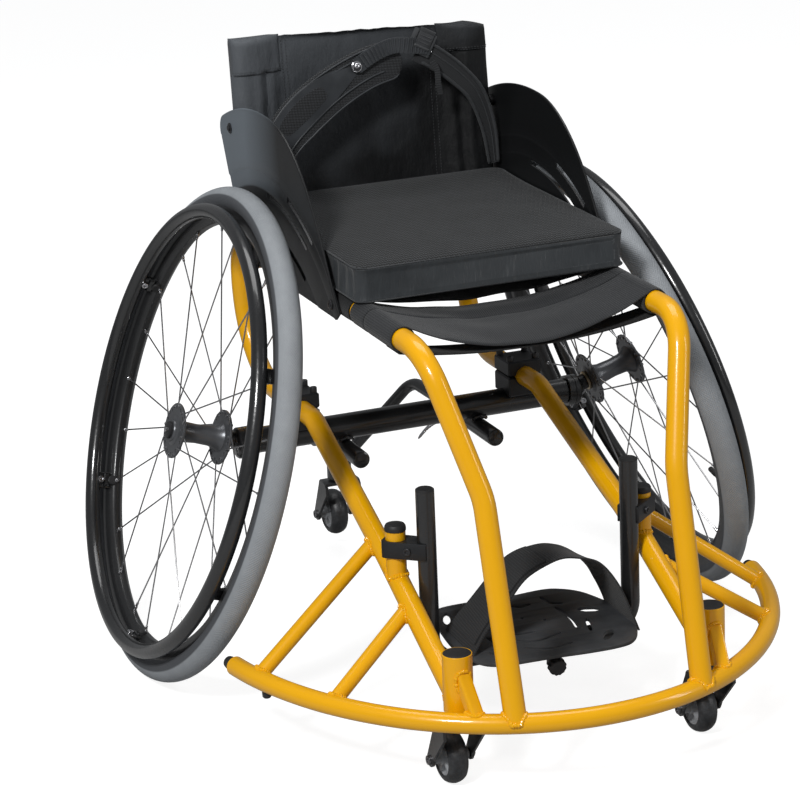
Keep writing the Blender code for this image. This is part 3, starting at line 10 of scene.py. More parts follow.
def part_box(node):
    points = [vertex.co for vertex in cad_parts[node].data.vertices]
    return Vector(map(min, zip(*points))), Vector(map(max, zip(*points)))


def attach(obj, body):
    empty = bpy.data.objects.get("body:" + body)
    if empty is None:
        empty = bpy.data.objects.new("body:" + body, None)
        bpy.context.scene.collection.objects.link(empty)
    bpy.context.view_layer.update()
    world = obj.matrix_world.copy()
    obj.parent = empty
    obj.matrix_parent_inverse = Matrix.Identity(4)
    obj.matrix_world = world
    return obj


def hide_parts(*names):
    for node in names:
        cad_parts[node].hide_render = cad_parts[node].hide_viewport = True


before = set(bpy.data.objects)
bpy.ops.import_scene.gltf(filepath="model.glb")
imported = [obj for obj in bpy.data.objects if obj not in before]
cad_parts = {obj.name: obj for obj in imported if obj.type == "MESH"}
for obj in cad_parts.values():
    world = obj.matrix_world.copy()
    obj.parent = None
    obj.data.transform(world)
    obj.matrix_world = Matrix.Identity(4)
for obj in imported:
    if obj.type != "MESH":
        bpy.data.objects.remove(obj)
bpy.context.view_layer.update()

# Everything is measured from the floor point under the wheel axles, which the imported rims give.
# Left is -X, on the near side of the photograph.
wheel_centre = {side: (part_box(node)[0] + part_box(node)[1]) / 2
                for side, node in ((-1, "rim_left"), (1, "rim_right"))}
AXLES = Matrix.Translation((0, wheel_centre[-1].y, 0))
SIDES = ((-1, "left"), (1, "right"))

# Camera
# It stands 3.4 m before the axles and 1.3 m towards the left wheel, 1.4 m up, and looks down by 17
# degrees through a long lens, turned a little about its own line.
azimuth, elevation, roll = -0.3671, 0.3049, -0.0422
towards = Vector((sin(azimuth) * cos(elevation), -cos(azimuth) * cos(elevation), sin(elevation)))
level = (-towards).cross(Vector((0, 0, 1))).normalized()
above = level.cross(-towards)
camera = bpy.data.objects.new("camera", bpy.data.cameras.new("camera"))
bpy.context.scene.collection.objects.link(camera)
camera.matrix_world = AXLES @ Matrix.Translation((-1.3079, -3.3650, 1.4277)) @ Matrix(
    (cos(roll) * level + sin(roll) * above, cos(roll) * above - sin(roll) * level,
     towards)).transposed().to_4x4()
camera.data.lens = 135.7155
camera.data.shift_x = 0.0015
camera.data.clip_end = 60
bpy.context.scene.camera = camera

# Side frames and bumper
# Round aluminium tubes, bent cold, coped and TIG welded, then powder coated a warm yellow with a
# clear gloss. A side is one long tube from the bumper over the knee and rear loop to the caster
# housing, with a gusset, a footrest post, a cane socket and two struts.
RAIL_X = 0.155
RAIL_R = 0.0127
SEAT_RAIL_Z = 0.4925
LOOP_Y = 0.175
KNEE_Y = -0.449
LOWER_Z = 0.306512
CLAMP_X = 0.1495
HOUSING_X = 0.1555
HOUSING_R = 0.017
HOUSING_TOP = 0.1635
HOUSING_BOTTOM = 0.098
POST_Y = -0.339
POST_R = 0.0118
POST_TOP = {-1: 0.2535, 1: 0.2490}
BUMPER_Z = 0.097
BUMPER_R = 0.0115
BUMPER_HALF_WIDTH = 0.343
BUMPER_REACH = 0.405
BUMPER_CENTRE_Y = -0.192
BUMPER_END_Y = -0.275
STRUT_R = 0.0088
STRUTS = (("front", -0.377, 0.276), ("rear", -0.276, 0.325))    # y on the side, x on the bumper
CANE_Y = 0.105
CANE_LEAN = radians(5)
SOCKET_R = 0.0151
WELD = 0.0027


class Socket:
    """The output of a shader node, so that shader maths reads as plain maths."""

    def __init__(self, surface, out):
        self.surface, self.out = surface, out

    def maths(self, operation, *others):
        return self.surface.node("Math", {"operation": operation}, *others)

    def __add__(self, other):
        return self.maths("ADD", self, other)

    __radd__ = __add__

    def __sub__(self, other):
        return self.maths("SUBTRACT", self, other)

    def __rsub__(self, other):
        return self.maths("SUBTRACT", other, self)

    def __mul__(self, other):
        return self.maths("MULTIPLY", self, other)

    def __truediv__(self, other):
        return self.maths("DIVIDE", self, other)

    def __abs__(self):
        return self.maths("ABSOLUTE", self)

    def sine(self):
        return self.maths("SINE", self)


class Nodes:
    """A node tree in the making."""

    def __init__(self, tree):
        self.tree = tree

    def node(self, kind, settings=None, *values, **named):
        """One node: its settings, then its sockets' values or links, in order or by name."""
        made = self.tree.nodes.new("ShaderNode" + kind)
        settings = dict(settings or {})
        out = settings.pop("out", 0)
        for key, value in settings.items():
            setattr(made, key, value)
        for where, value in list(enumerate(values)) + list(named.items()):
            if isinstance(value, Socket):
                self.tree.links.new(value.out, made.inputs[where])
            elif value is not None:
                made.inputs[where].default_value = value
        return Socket(self, made.outputs[out])


class Surface(Nodes):
    """One finish. What is the same all over is set on the shader, the rest is made of nodes."""

    FINISH = {"specular": "Specular IOR Level", "coat": "Coat Weight", "coat_roughness": "Coat Roughness",
              "sheen": "Sheen Weight", "sheen_roughness": "Sheen Roughness"}

    def __init__(self, name, slot, **finish):
        self.material = bpy.data.materials.new(name)
        self.material.use_nodes = True
        self.material["slot"] = slot
        super().__init__(self.material.node_tree)
        self.shader = self.tree.nodes["Principled BSDF"]
        for key, value in finish.items():
            self.shader.inputs[self.FINISH.get(key, key.title())].default_value = value

    def lie(self):
        """Two sockets: metres across and metres along, as a swept piece was laid out."""
        uv = self.node("UVMap", {"uv_map": "lie"})
        return [self.node("SeparateXYZ", {"out": axis}, uv) for axis in (0, 1)]

    def place(self):
        return self.node("TexCoord", {"out": "Object"})

    def parts(self):
        """Three sockets: x, y and z of the place."""
        where = self.place()
        return [self.node("SeparateXYZ", {"out": axis}, where) for axis in (0, 1, 2)]

    def grain(self, size, detail=2.0, rough=0.5, stretch=None):
        """Soft noise about as wide as size, from 0 to 1."""
        where = self.place()
        if stretch:
            where = self.node("Mapping", None, where, Scale=stretch)
        return self.node("TexNoise", {"noise_dimensions": "3D"}, where, Scale=1 / size, Detail=detail,
                         Roughness=rough)

    def ramp(self, value, low, high, bottom=0.0, top=1.0):
        """Value from low to high brought to bottom to top, and held there beyond."""
        return self.node("MapRange", {"clamp": True}, value, low, high, bottom, top)

    def mix(self, one, other, share):
        """One colour passing into the other by a share from 0 to 1."""
        one, other = [(*c, 1) if isinstance(c, tuple) else c for c in (one, other)]
        return self.node("Mix", {"data_type": "RGBA", "out": 2}, share, *[None] * 5, one, other)

    def feed(self, colour, roughness, height):
        """Links what varies into the shader; the height, in metres, goes in as a bump."""
        bump = self.node("Bump", None, Height=height, Distance=1.0, Strength=1.0)
        for key, socket in (("Base Color", colour), ("Roughness", roughness), ("Normal", bump)):
            self.tree.links.new(socket.out, self.shader.inputs[key])
        return self.material


def ring_of(radius, count):
    return [(radius * cos(2 * pi * i / count), radius * sin(2 * pi * i / count)) for i in range(count)]


class Shape:
    """A mesh in the making. Skins know how far they run across and along, for weaves and ribs."""

    def __init__(self):
        self.mesh = bmesh.new()
        self.uv = self.mesh.loops.layers.uv.new("lie")

    def skin(self, rows, ring=True, ends=True, loop=False):
        """Faces between rows of points. A ring closes each row, a loop joins the last row to the first."""
        grid = [[self.mesh.verts.new(point) for point in row] for row in rows]
        count = len(grid[0])
        middle = rows[len(rows) // 2]
        across, along = [0.0], [0.0]
        for i in range(count):
            across.append(across[-1] + (Vector(middle[(i + 1) % count]) - Vector(middle[i])).length)
        centres = [sum((Vector(point) for point in row), Vector()) / count for row in rows]
        for i in range(len(rows)):
            along.append(along[-1] + (centres[(i + 1) % len(rows)] - centres[i]).length)
        for j in range(len(grid) if loop else len(grid) - 1):
            low, high = grid[j], grid[(j + 1) % len(grid)]
            for i in range(count if ring else count - 1):
                k = (i + 1) % count
                face = self.mesh.faces.new((low[i], low[k], high[k], high[i]))
                for corner, (u, v) in zip(face.loops, ((i, j), (i + 1, j), (i + 1, j + 1), (i, j + 1))):
                    corner[self.uv].uv = (across[u], along[v])
        if ends and not loop and ring:
            self.mesh.faces.new(grid[0][::-1])
            self.mesh.faces.new(grid[-1])
        return grid

    def tube(self, path, radius, sides=28, loop=False, section=None):
        """A rod along a path. Radius is a number, or one for each point; a section is (u, v) points."""
        path = [Vector(point) for point in path]
        radii = radius if isinstance(radius, (list, tuple)) else [radius] * len(path)
        section = section or ring_of(1, sides)
        count = len(path)
        ways = []
        for i in range(count):
            after = path[(i + 1) % count] if loop else path[min(i + 1, count - 1)]
            before = path[i - 1] if loop else path[max(i - 1, 0)]
            ways.append((after - before).normalized())
        across = ways[0].orthogonal().normalized()
        if abs(ways[0].z) < 0.9:
            across = ways[0].cross(Vector((0, 0, 1))).normalized()
        rows = []
        for i, (point, way, r) in enumerate(zip(path, ways, radii)):
            if i:
                across = ways[i - 1].rotation_difference(way) @ across
                across = (across - way * across.dot(way)).normalized()
            other = way.cross(across)
            rows.append([point + (across * u + other * v) * r for u, v in section])
        return self.skin(rows, loop=loop)

    def rod(self, start, way, runs, sides):
        """A straight rod of changing width: (distance along the way, radius) points."""
        return self.tube([start + way * s for s, r in runs], [r for s, r in runs], sides)

    def turn(self, profile, place, steps=64, loop=False):
        """A turned piece: (radius, height) points about the local Z axis."""
        rows = [[place @ Vector((x, y, z)) for x, y in ring_of(r, steps)] for r, z in profile]
        return self.skin(rows, loop=loop)

    def block(self, low, high, place, edge):
        """A box between two corners, with rounded edges."""
        low, high = Vector(low), Vector(high)
        made = bmesh.ops.create_cube(self.mesh, size=1)["verts"]
        for vert in made:
            vert.co = place @ Vector([(low[i] + high[i]) / 2 + vert.co[i] * (high[i] - low[i])
                                      for i in range(3)])
        edges = list({e for vert in made for e in vert.link_edges})
        bmesh.ops.bevel(self.mesh, geom=edges, offset=edge, segments=2, affect="EDGES", profile=0.5)

    def slab(self, outlines, thickness, place, edge, segments=2):
        """A flat piece from closed outlines, the first outside and the others its holes."""
        curve = bpy.data.curves.new("slab", "CURVE")
        curve.dimensions, curve.fill_mode = "2D", "BOTH"
        curve.extrude = thickness / 2 - edge
        curve.bevel_depth, curve.bevel_resolution = edge, segments - 1
        curve.offset = -edge
        for outline in outlines:
            spline = curve.splines.new("POLY")
            spline.points.add(len(outline) - 1)
            spline.use_cyclic_u = True
            for knot, (u, v) in zip(spline.points, outline):
                knot.co = (u, v, 0, 1)
        thing = bpy.data.objects.new("slab", curve)
        bpy.context.scene.collection.objects.link(thing)
        bpy.context.view_layer.update()
        mesh = bpy.data.meshes.new_from_object(
            thing.evaluated_get(bpy.context.evaluated_depsgraph_get()))
        mesh.transform(place)
        start = len(self.mesh.verts)
        self.mesh.from_mesh(mesh)
        self.mesh.verts.ensure_lookup_table()
        bmesh.ops.remove_doubles(self.mesh, verts=self.mesh.verts[start:], dist=0.00001)
        bpy.data.objects.remove(thing, do_unlink=True)
        bpy.data.curves.remove(curve)
        bpy.data.meshes.remove(mesh)

    def made(self, name, surface, body="frame", replaces=(), place=AXLES, sharp=32):
        """The finished piece, riding on its body, with its finish and slot."""
        bmesh.ops.recalc_face_normals(self.mesh, faces=self.mesh.faces)
        for edge in self.mesh.edges:
            if len(edge.link_faces) == 2 and edge.calc_face_angle() > radians(sharp):
                edge.smooth = False
        for face in self.mesh.faces:
            face.smooth = True
        mesh = bpy.data.meshes.new(name)
        self.mesh.to_mesh(mesh)
        self.mesh.free()
        mesh.materials.append(surface)
        piece = bpy.data.objects.new(name, mesh)
        bpy.context.scene.collection.objects.link(piece)
        piece.matrix_world = place
        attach(piece, body)
        if replaces:
            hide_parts(*replaces)
        return piece


def bent(corners, step=radians(4)):
    """Straight runs whose corners, given as (point, radius), become arcs."""
    points = [Vector(corners[0][0])]
    for before, corner, after in zip(corners, corners[1:], corners[2:]):
        here = Vector(corner[0])
        back = (Vector(before[0]) - here).normalized()
        ahead = (Vector(after[0]) - here).normalized()
        half = back.angle(ahead) / 2
        centre = here + (back + ahead).normalized() * corner[1] / sin(half)
        start = here + back * corner[1] / tan(half) - centre
        turn = pi - 2 * half
        steps = max(2, ceil(turn / step))
        axis = start.cross(here + ahead * corner[1] / tan(half) - centre).normalized()
        points += [centre + Quaternion(axis, turn * i / steps) @ start for i in range(steps + 1)]
    points.append(Vector(corners[-1][0]))
    return points


def both_ways(profile):
    """Half a turned profile, then its mirror image back again."""
    return profile + [(r, -h) for r, h in profile[::-1]]


def flowing(points, per_span=8):
    """A smooth line through a few chosen points."""
    knots = [Vector(p) for p in points]
    knots = [2 * knots[0] - knots[1]] + knots + [2 * knots[-1] - knots[-2]]
    path = []
    for a, b, c, d in zip(knots, knots[1:], knots[2:], knots[3:]):
        for i in range(per_span):
            t = i / per_span
            path.append(0.5 * (2 * b + (c - a) * t + (2 * a - 5 * b + 4 * c - d) * t ** 2
                               + (3 * b - a - 3 * c + d) * t ** 3))
    return path + [knots[-2]]


def on_side(points, side):
    return [Vector((side * p[0], p[1], p[2])) for p in points]


def distance(point, path):
    best = 9.0
    for a, b in zip(path, path[1:]):
        run = b - a
        t = min(max((point - a).dot(run) / run.length_squared, 0), 1)
        best = min(best, (point - a - run * t).length)
    return best


def weld(shape, start, way, radius, host, host_r, bead=WELD):
    """A lumpy run of weld round a tube's end, where its wall meets another tube's."""
    way = way.normalized()
    across = way.orthogonal().normalized()
    other = way.cross(across)
    near = [i for i in range(len(host)) if (host[i] - start).length < 0.22 + radius]
    host = host[max(near[0] - 1, 0):near[-1] + 2] if near else host
    line = []
    for u, v in ring_of(radius, 80):
        point = start + across * u + other * v
        best, place = 9.0, point
        for _ in range(24):
            gap = distance(point, host) - host_r
            if gap < best:
                best, place = gap, point.copy()
            if gap < 0.0001:
                break
            point = point + way * max(gap * 0.9, 0.0003)
        line.append(place)
    lumps = [bead * (0.9 + 0.16 * sin(i * 2.1) + 0.5 * noise.noise(spot * 260))
             for i, spot in enumerate(line)]
    shape.tube(line, lumps, 10, loop=True)


def bumper_point(x):
    return Vector((x, BUMPER_CENTRE_Y - BUMPER_REACH * sqrt(1 - (x / BUMPER_HALF_WIDTH) ** 2), BUMPER_Z))


def point_at_y(path, y):
    """Where a path first crosses a given y, counted from its end."""
    for a, b in zip(path[::-1], path[-2::-1]):
        if min(a.y, b.y) <= y <= max(a.y, b.y):
            return a.lerp(b, (y - a.y) / (b.y - a.y))


def yellow_coat():
    """Powder coat: even colour, faint orange peel, a few fine darker specks."""
    paint = Surface("yellow_powder_coat", "yellow_paint", specular=0.25, coat=0.60, coat_roughness=0.12)
    peel = paint.grain(0.0035, 1.0)
    broad = paint.grain(0.09, 2.0)
    worn = paint.ramp(paint.grain(0.0016, 4.0, 0.7), 0.70, 0.78)
    rough = paint.grain(0.012, 3.0)
    paint.feed(colour=paint.mix(paint.mix((0.92, 0.442, 0.001), (0.95, 0.472, 0.002), broad),
                                (0.62, 0.30, 0.008), worn * 0.12),
               roughness=0.26 + rough * 0.12, height=peel * 0.00012)
    return paint.material


YELLOW = yellow_coat()
last = asin((BUMPER_CENTRE_Y - BUMPER_END_Y) / BUMPER_REACH)
BUMPER_PATH = [Vector((BUMPER_HALF_WIDTH * cos(a), BUMPER_CENTRE_Y - BUMPER_REACH * sin(a), BUMPER_Z))
               for a in [last + (pi - 2 * last) * i / 90 for i in range(91)]]
shape = Shape()
shape.tube(BUMPER_PATH, BUMPER_R)
shape.made("bumper_hoop", YELLOW, "frame", ["bumper"])

HOUSING_Y = bumper_point(HOUSING_X).y + 0.040
SIDE_PATH = {}
for side, name in SIDES:
    path = on_side(bent([
        (bumper_point(0.1135), 0), ((0.1165, -0.511, 0.337), 0.100), ((RAIL_X, KNEE_Y, SEAT_RAIL_Z), 0.060),
        ((RAIL_X, LOOP_Y, SEAT_RAIL_Z), 0.055), ((RAIL_X, LOOP_Y, 0.420), 0.100),
        ((CLAMP_X, LOOP_Y, LOWER_Z), 0.100), ((CLAMP_X, -0.062, LOWER_Z), 0.045),
        ((0.1545, -0.300, 0.213), 0.300), ((HOUSING_X, HOUSING_Y, 0.108), 0)]), side)
    SIDE_PATH[side] = path
    shape = Shape()
    shape.tube(path, [RAIL_R - 0.0002 * min(max((i - len(path) // 2) / 8, 0), 1)
                      for i in range(len(path))])
    weld(shape, path[0].lerp(path[1], 0.18), path[0] - path[1], RAIL_R, BUMPER_PATH, BUMPER_R)

    foot = Vector((side * HOUSING_X, HOUSING_Y, 0))
    stand = Matrix.Translation(foot)
    shape.turn([(HOUSING_R - 0.0008, HOUSING_BOTTOM), (HOUSING_R, HOUSING_BOTTOM + 0.0008),
                (HOUSING_R, HOUSING_TOP + 0.0020), (HOUSING_R - 0.0005, HOUSING_TOP + 0.0026),
                (0.0161, HOUSING_TOP + 0.0026), (0.0159, HOUSING_TOP + 0.0022),
                (0.0159, HOUSING_TOP - 0.002), (0.0130, HOUSING_TOP - 0.002),
                (0.0130, HOUSING_BOTTOM)], stand, loop=True)
    wall = [foot + Vector((0, 0, HOUSING_BOTTOM)), foot + Vector((0, 0, HOUSING_TOP))]
    weld(shape, path[-1].lerp(path[-2], 0.3), path[-1] - path[-2], 0.0125, wall, HOUSING_R)

    head = Vector((side * HOUSING_X, HOUSING_Y - 0.5 * HOUSING_R, 0.146))
    toe = on_side([bumper_point(HOUSING_X - 0.005)], side)[0]
    square = [(u * min(1 / max(abs(u), abs(v)), 1.28), v * min(1 / max(abs(u), abs(v)), 1.28))
              for u, v in ring_of(1, 32)]
    shape.tube([head, toe], 0.0078, section=square)
    weld(shape, head.lerp(toe, 0.35), head - toe, 0.0092, wall, HOUSING_R, 0.0022)
    weld(shape, head.lerp(toe, 0.45), toe - head, 0.0092, BUMPER_PATH, BUMPER_R, 0.0022)

    post = point_at_y(path, POST_Y)
    top = Vector((side * HOUSING_X, POST_Y, POST_TOP[side]))
    shape.turn([(POST_R, post.z), (POST_R, top.z - 0.0005), (POST_R - 0.0006, top.z)],
               Matrix.Translation((side * HOUSING_X, POST_Y, 0)))
    weld(shape, top.lerp(post, 0.3), Vector((0, 0, -1)), POST_R, path, 0.0125)

    for word, y, x in STRUTS:
        head = point_at_y(path, y)
        toe = on_side([bumper_point(x)], side)[0]
        strut = Shape()
        strut.tube([head, toe], STRUT_R)
        weld(strut, head.lerp(toe, 0.4), toe - head, STRUT_R, BUMPER_PATH, BUMPER_R)
        weld(strut, head.lerp(toe, 0.5), head - toe, STRUT_R, path, 0.0125)
        strut.made("outrigger_%s_%s" % (word, name), YELLOW, "frame", ["strut_%s_%s" % (word, name)])

    lean = Vector((0, sin(CANE_LEAN), cos(CANE_LEAN)))
    crossing = Vector((side * RAIL_X, CANE_Y, SEAT_RAIL_Z))
    low, high = crossing + lean * (0.462 - SEAT_RAIL_Z), crossing + lean * (0.524 - SEAT_RAIL_Z)
    shape.tube([low, low + lean * 0.0006, high - lean * 0.0006, high],
               [SOCKET_R - 0.0006, SOCKET_R, SOCKET_R, SOCKET_R - 0.0006])
    rail = [Vector((side * RAIL_X, y, SEAT_RAIL_Z)) for y in (CANE_Y - 0.04, CANE_Y + 0.04)]
    weld(shape, high, -lean, SOCKET_R, rail, RAIL_R, 0.0022)
    weld(shape, low, lean, SOCKET_R, rail, RAIL_R, 0.0022)
    shape.made("side_frame_" + name, YELLOW, "frame", ["rail_" + name, "lower_frame_" + name])

# Plugs and caps
# Moulded polyethylene: ribbed plugs driven into the bumper's ends, a pressed lid in each caster
# housing and a domed cap on each footrest post, all slightly chalky black.


def moulded(name, slot, colour, shine):
    """Moulded plastic with a fine spark-eroded grain and a little handling wear."""
    plastic = Surface(name, slot, specular=0.4)
    grain = plastic.grain(0.0012, 3.0, 0.6)
    broad = plastic.grain(0.03, 3.0)
    pale = tuple(min(1, c * 1.6 + 0.004) for c in colour)
    plastic.feed(colour=plastic.mix(colour, pale, plastic.ramp(broad, 0.35, 0.8)),
                 roughness=shine + broad * 0.14, height=grain * 0.00008)
    return plastic.material


PLUG = moulded("polyethylene", "black_plug", (0.016, 0.016, 0.017), 0.42)
for side, name in SIDES:
    ends = BUMPER_PATH[:2] if side > 0 else BUMPER_PATH[:-3:-1]
    shape = Shape()
    shape.rod(ends[0], (ends[0] - ends[1]).normalized(),
              [(0.0003, 0.0080), (0.0016, 0.0080), (0.0019, 0.0076), (0.0046, 0.0075), (0.0050, 0.0079),
               (0.0120, 0.0078), (0.0150, 0.0072), (0.0166, 0.0058), (0.0171, 0.0034)], 32)
    shape.made("bumper_plug_" + name, PLUG, "frame", ["bumper_tip_" + name])

    shape = Shape()
    under = bumper_point(0.320)
    shape.turn([(0.0001, -0.0190), (0.0040, -0.0186), (0.0052, -0.0170), (0.0055, -0.0105),
                (0.0001, -0.0100)], Matrix.Translation((side * under.x, under.y, BUMPER_Z)), 28)
    shape.made("bumper_stud_" + name, PLUG)

    shape = Shape()
    shape.turn([(0.0001, HOUSING_TOP + 0.0036), (0.0120, HOUSING_TOP + 0.0034),
                (0.0150, HOUSING_TOP + 0.0030), (0.0157, HOUSING_TOP + 0.0025),
                (0.0157, HOUSING_TOP - 0.0018), (0.0001, HOUSING_TOP - 0.0018)],
               Matrix.Translation((side * HOUSING_X, HOUSING_Y, 0)))
    shape.made("caster_lid_" + name, PLUG, "frame", ["housing_cap_" + name])

    shape = Shape()
    low = POST_TOP[side] + 0.0003
    shape.turn([(0.0001, low + 0.0085), (0.0078, low + 0.0081), (0.0110, low + 0.0070),
                (0.0123, low + 0.0048), (0.0126, low + 0.0024), (0.0125, low), (0.0001, low)],
               Matrix.Translation((side * HOUSING_X, POST_Y, 0)))
    shape.made("post_dome_" + name, PLUG, "frame", ["post_cap_" + name])

# Clamps
# Milled aluminium blocks, black anodised. Each pair grips a lower tube and sits on the camber
# tube, drawn together by four socket-head bolts that stand out of the top half.
CLAMP_BOLTS = (0.0172, 0.0165)
CLAMP_TOP = LOWER_Z + 0.0200
BOLT_R = 0.0044
BOLT_STANDS = 0.0075


def anodised(name, colour, shine):
    """Machined and anodised aluminium: fine tool lines across, a little brighter in broad patches."""
    metal = Surface(name, "satin_black_plastic", metallic=0.55, specular=0.5)
    lines = metal.grain(0.0006, 1.0, 0.5, stretch=(1, 0.08, 1))
    broad = metal.grain(0.02, 3.0)
    metal.feed(colour=metal.mix(colour, tuple(c * 1.9 for c in colour), broad),
               roughness=shine + lines * 0.12, height=lines * 0.00005)
    return metal.material


ANODISED = anodised("black_anodised", (0.022, 0.023, 0.025), 0.36)
BOLT_BLACK = anodised("black_oxide_bolt", (0.030, 0.030, 0.032), 0.28)


def socket_bolt(shape, place, radius, height):
    """A socket-head bolt standing on the place's Z axis, with its hexagon hole."""
    shape.turn([(radius * 0.96, 0), (radius, height * 0.05), (radius, height * 0.88),
                (radius * 0.9, height), (radius * 0.56, height), (radius * 0.5, height * 0.93),
                (radius * 0.5, height * 0.5), (0.0001, height * 0.45)], place, 30)


for side, name in SIDES:
    for word in ("upper", "lower"):
        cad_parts["clamp_%s_%s" % (word, name)].data.materials[0] = ANODISED
    shape = Shape()
    for u in (-1, 1):
        for v in (-1, 1):
            spot = (side * CLAMP_X + u * CLAMP_BOLTS[0], v * CLAMP_BOLTS[1], CLAMP_TOP - 0.001)
            socket_bolt(shape, Matrix.Translation(spot), BOLT_R, BOLT_STANDS)
    shape.made("clamp_bolts_" + name, BOLT_BLACK)

# Camber tube
# A thick steel tube across the chair in gloss black enamel. Two receivers are welded below it and
# closed in front; the anti-tip fork slides into them from behind. Its ends are split collars that
# hold the camber plugs.
CAMBER_TUBE_R = 0.016
CAMBER_Z = 0.270512
CAMBER_HALF = 0.2137
COLLAR_R = 0.0195
RECEIVER_X = 0.090
RECEIVER_R = 0.011
RECEIVER_Z = 0.244512
RECEIVER_FRONT, RECEIVER_REAR = -0.064, 0.124


def enamel(name, shine=0.22, coat=0.8):
    """Gloss black enamel with a soft orange peel, dust and broad paler patches."""
    paint = Surface(name, "black_paint", coat=coat, coat_roughness=0.06)
    peel = paint.grain(0.005, 1.5)
    dust = paint.grain(0.0022, 4.0, 0.7)
    broad = paint.grain(0.08, 2.0)
    paint.feed(colour=paint.mix((0.010, 0.0103, 0.011), (0.028, 0.029, 0.031),
                                paint.ramp(dust, 0.5, 0.85) * 0.6 + broad * 0.3),
               roughness=shine + broad * 0.12, height=peel * 0.00016)
    return paint.material


def crossways(way, origin=(0, 0, 0)):
    """A placing whose local Z runs along the given way."""
    turn = Vector(way).normalized().to_track_quat("Z", "Y").to_matrix().to_4x4()
    turn.translation = Vector(origin)
    return turn


ENAMEL = enamel("gloss_black_enamel")
shape = Shape()
shape.rod(Vector((0, 0, CAMBER_Z)), Vector((1, 0, 0)),
          [(-CAMBER_HALF, CAMBER_TUBE_R - 0.0006), (-CAMBER_HALF + 0.0006, CAMBER_TUBE_R),
           (0, CAMBER_TUBE_R), (CAMBER_HALF - 0.0006, CAMBER_TUBE_R),
           (CAMBER_HALF, CAMBER_TUBE_R - 0.0006)], 48)
for side in (-1, 1):
    shape.rod(Vector((side * RECEIVER_X, 0, RECEIVER_Z)), Vector((0, 1, 0)),
              [(RECEIVER_FRONT, 0.0085), (RECEIVER_FRONT + 0.0010, 0.0102),
               (RECEIVER_FRONT + 0.0024, 0.0108), (RECEIVER_FRONT + 0.0045, RECEIVER_R),
               (RECEIVER_REAR - 0.0008, RECEIVER_R), (RECEIVER_REAR, RECEIVER_R - 0.0006),
               (RECEIVER_REAR, 0.0084), (RECEIVER_REAR - 0.012, 0.0083)], 36)
    for way in (-1, 1):
        bead = [Vector((side * RECEIVER_X + 0.0085 * cos(a), way * 0.0125 + 0.002 * sin(3 * a),
                        CAMBER_Z - 0.0105 - 0.004 * abs(cos(a)))) for a in [pi * i / 20 for i in range(21)]]
        shape.tube(bead, [0.0022 * (1 + 0.4 * noise.noise(point * 300)) for point in bead], 10)
    shape.block((side * RECEIVER_X - 0.006, RECEIVER_REAR - 0.020, RECEIVER_Z - RECEIVER_R - 0.009),
                (side * RECEIVER_X + 0.006, RECEIVER_REAR - 0.004, RECEIVER_Z - 0.0095), Matrix(), 0.0012)
shape.made("camber_crosstube", ENAMEL, "frame", ["camber_tube"])

# Anti-tip levers
# Bright cast quick-release levers under the receivers' rear ends, curved towards the middle.


def bright(name, shine, colour=(0.62, 0.62, 0.64)):
    """Turned or drawn bright metal with fine lines and a few dull spots."""
    metal = Surface(name, "steel", metallic=1.0)
    lines = metal.grain(0.0008, 2.0)
    spots = metal.ramp(metal.grain(0.004, 3.0), 0.55, 0.75)
    metal.feed(colour=metal.mix(colour, tuple(c * 0.6 for c in colour), spots * 0.5),
               roughness=shine + spots * 0.15, height=lines * 0.00003)
    return metal.material


STEEL = bright("bright_steel", 0.22)
for side, name in SIDES:
    pivot = Vector((side * RECEIVER_X, 0.112, RECEIVER_Z - RECEIVER_R - 0.0151))
    shape = Shape()
    shape.turn(both_ways([(0.0034, 0.0052), (0.0050, 0.0050), (0.0058, 0.0043)]),
               crossways((0, 1, 0), pivot), 40)
    shares = [i / 18 for i in range(19)]
    spine = [pivot + Vector((-side * (0.003 + 0.033 * t), 0,
                             -0.012 * t - 0.008 * t * t + 0.003 * sin(pi * t))) for t in shares]
    sizes = [0.0050 * (1 - 0.35 * t * t) * narrow for t, narrow in zip(shares, [1] * 17 + [0.86, 0.5])]
    shape.tube(spine, sizes, section=[(u * 0.9, v * 0.36) for u, v in ring_of(1, 24)])
    shape.made("quick_lever_" + name, STEEL, "antitip_lever_" + name, ["antitip_lever_" + name])

# Rear wheels
# 24 inch sports wheels on a 17 degree camber: a grey clincher tyre on a deep black rim, 24 steel
# spokes laced to a drilled hub, and a gloss black hand rim bolted on six tabs.
CAMBER = radians(17.0)
RIM_SEAT_R = 0.279
RIM_DEPTH = 0.0195
TYRE_CENTRE_R = 0.289
TYRE_R = 0.016
HAND_RIM_R = 0.2704
HAND_RIM_TUBE_R = 0.0095
HAND_RIM_OUT = 0.0289
FLANGE_R = 0.034
FLANGE_OUT, FLANGE_IN = 0.0240, -0.0369
FLANGE_THICK = 0.0030
HUB_OUT_END, HUB_IN_END = 0.030, -0.0405
SPOKES = 12
SPOKE_R = 0.00095
SPOKE_SWEEP = radians(30)
VALVE_AT = {-1: 71, 1: 200}
SPOKE_HOLES_R = 0.0305


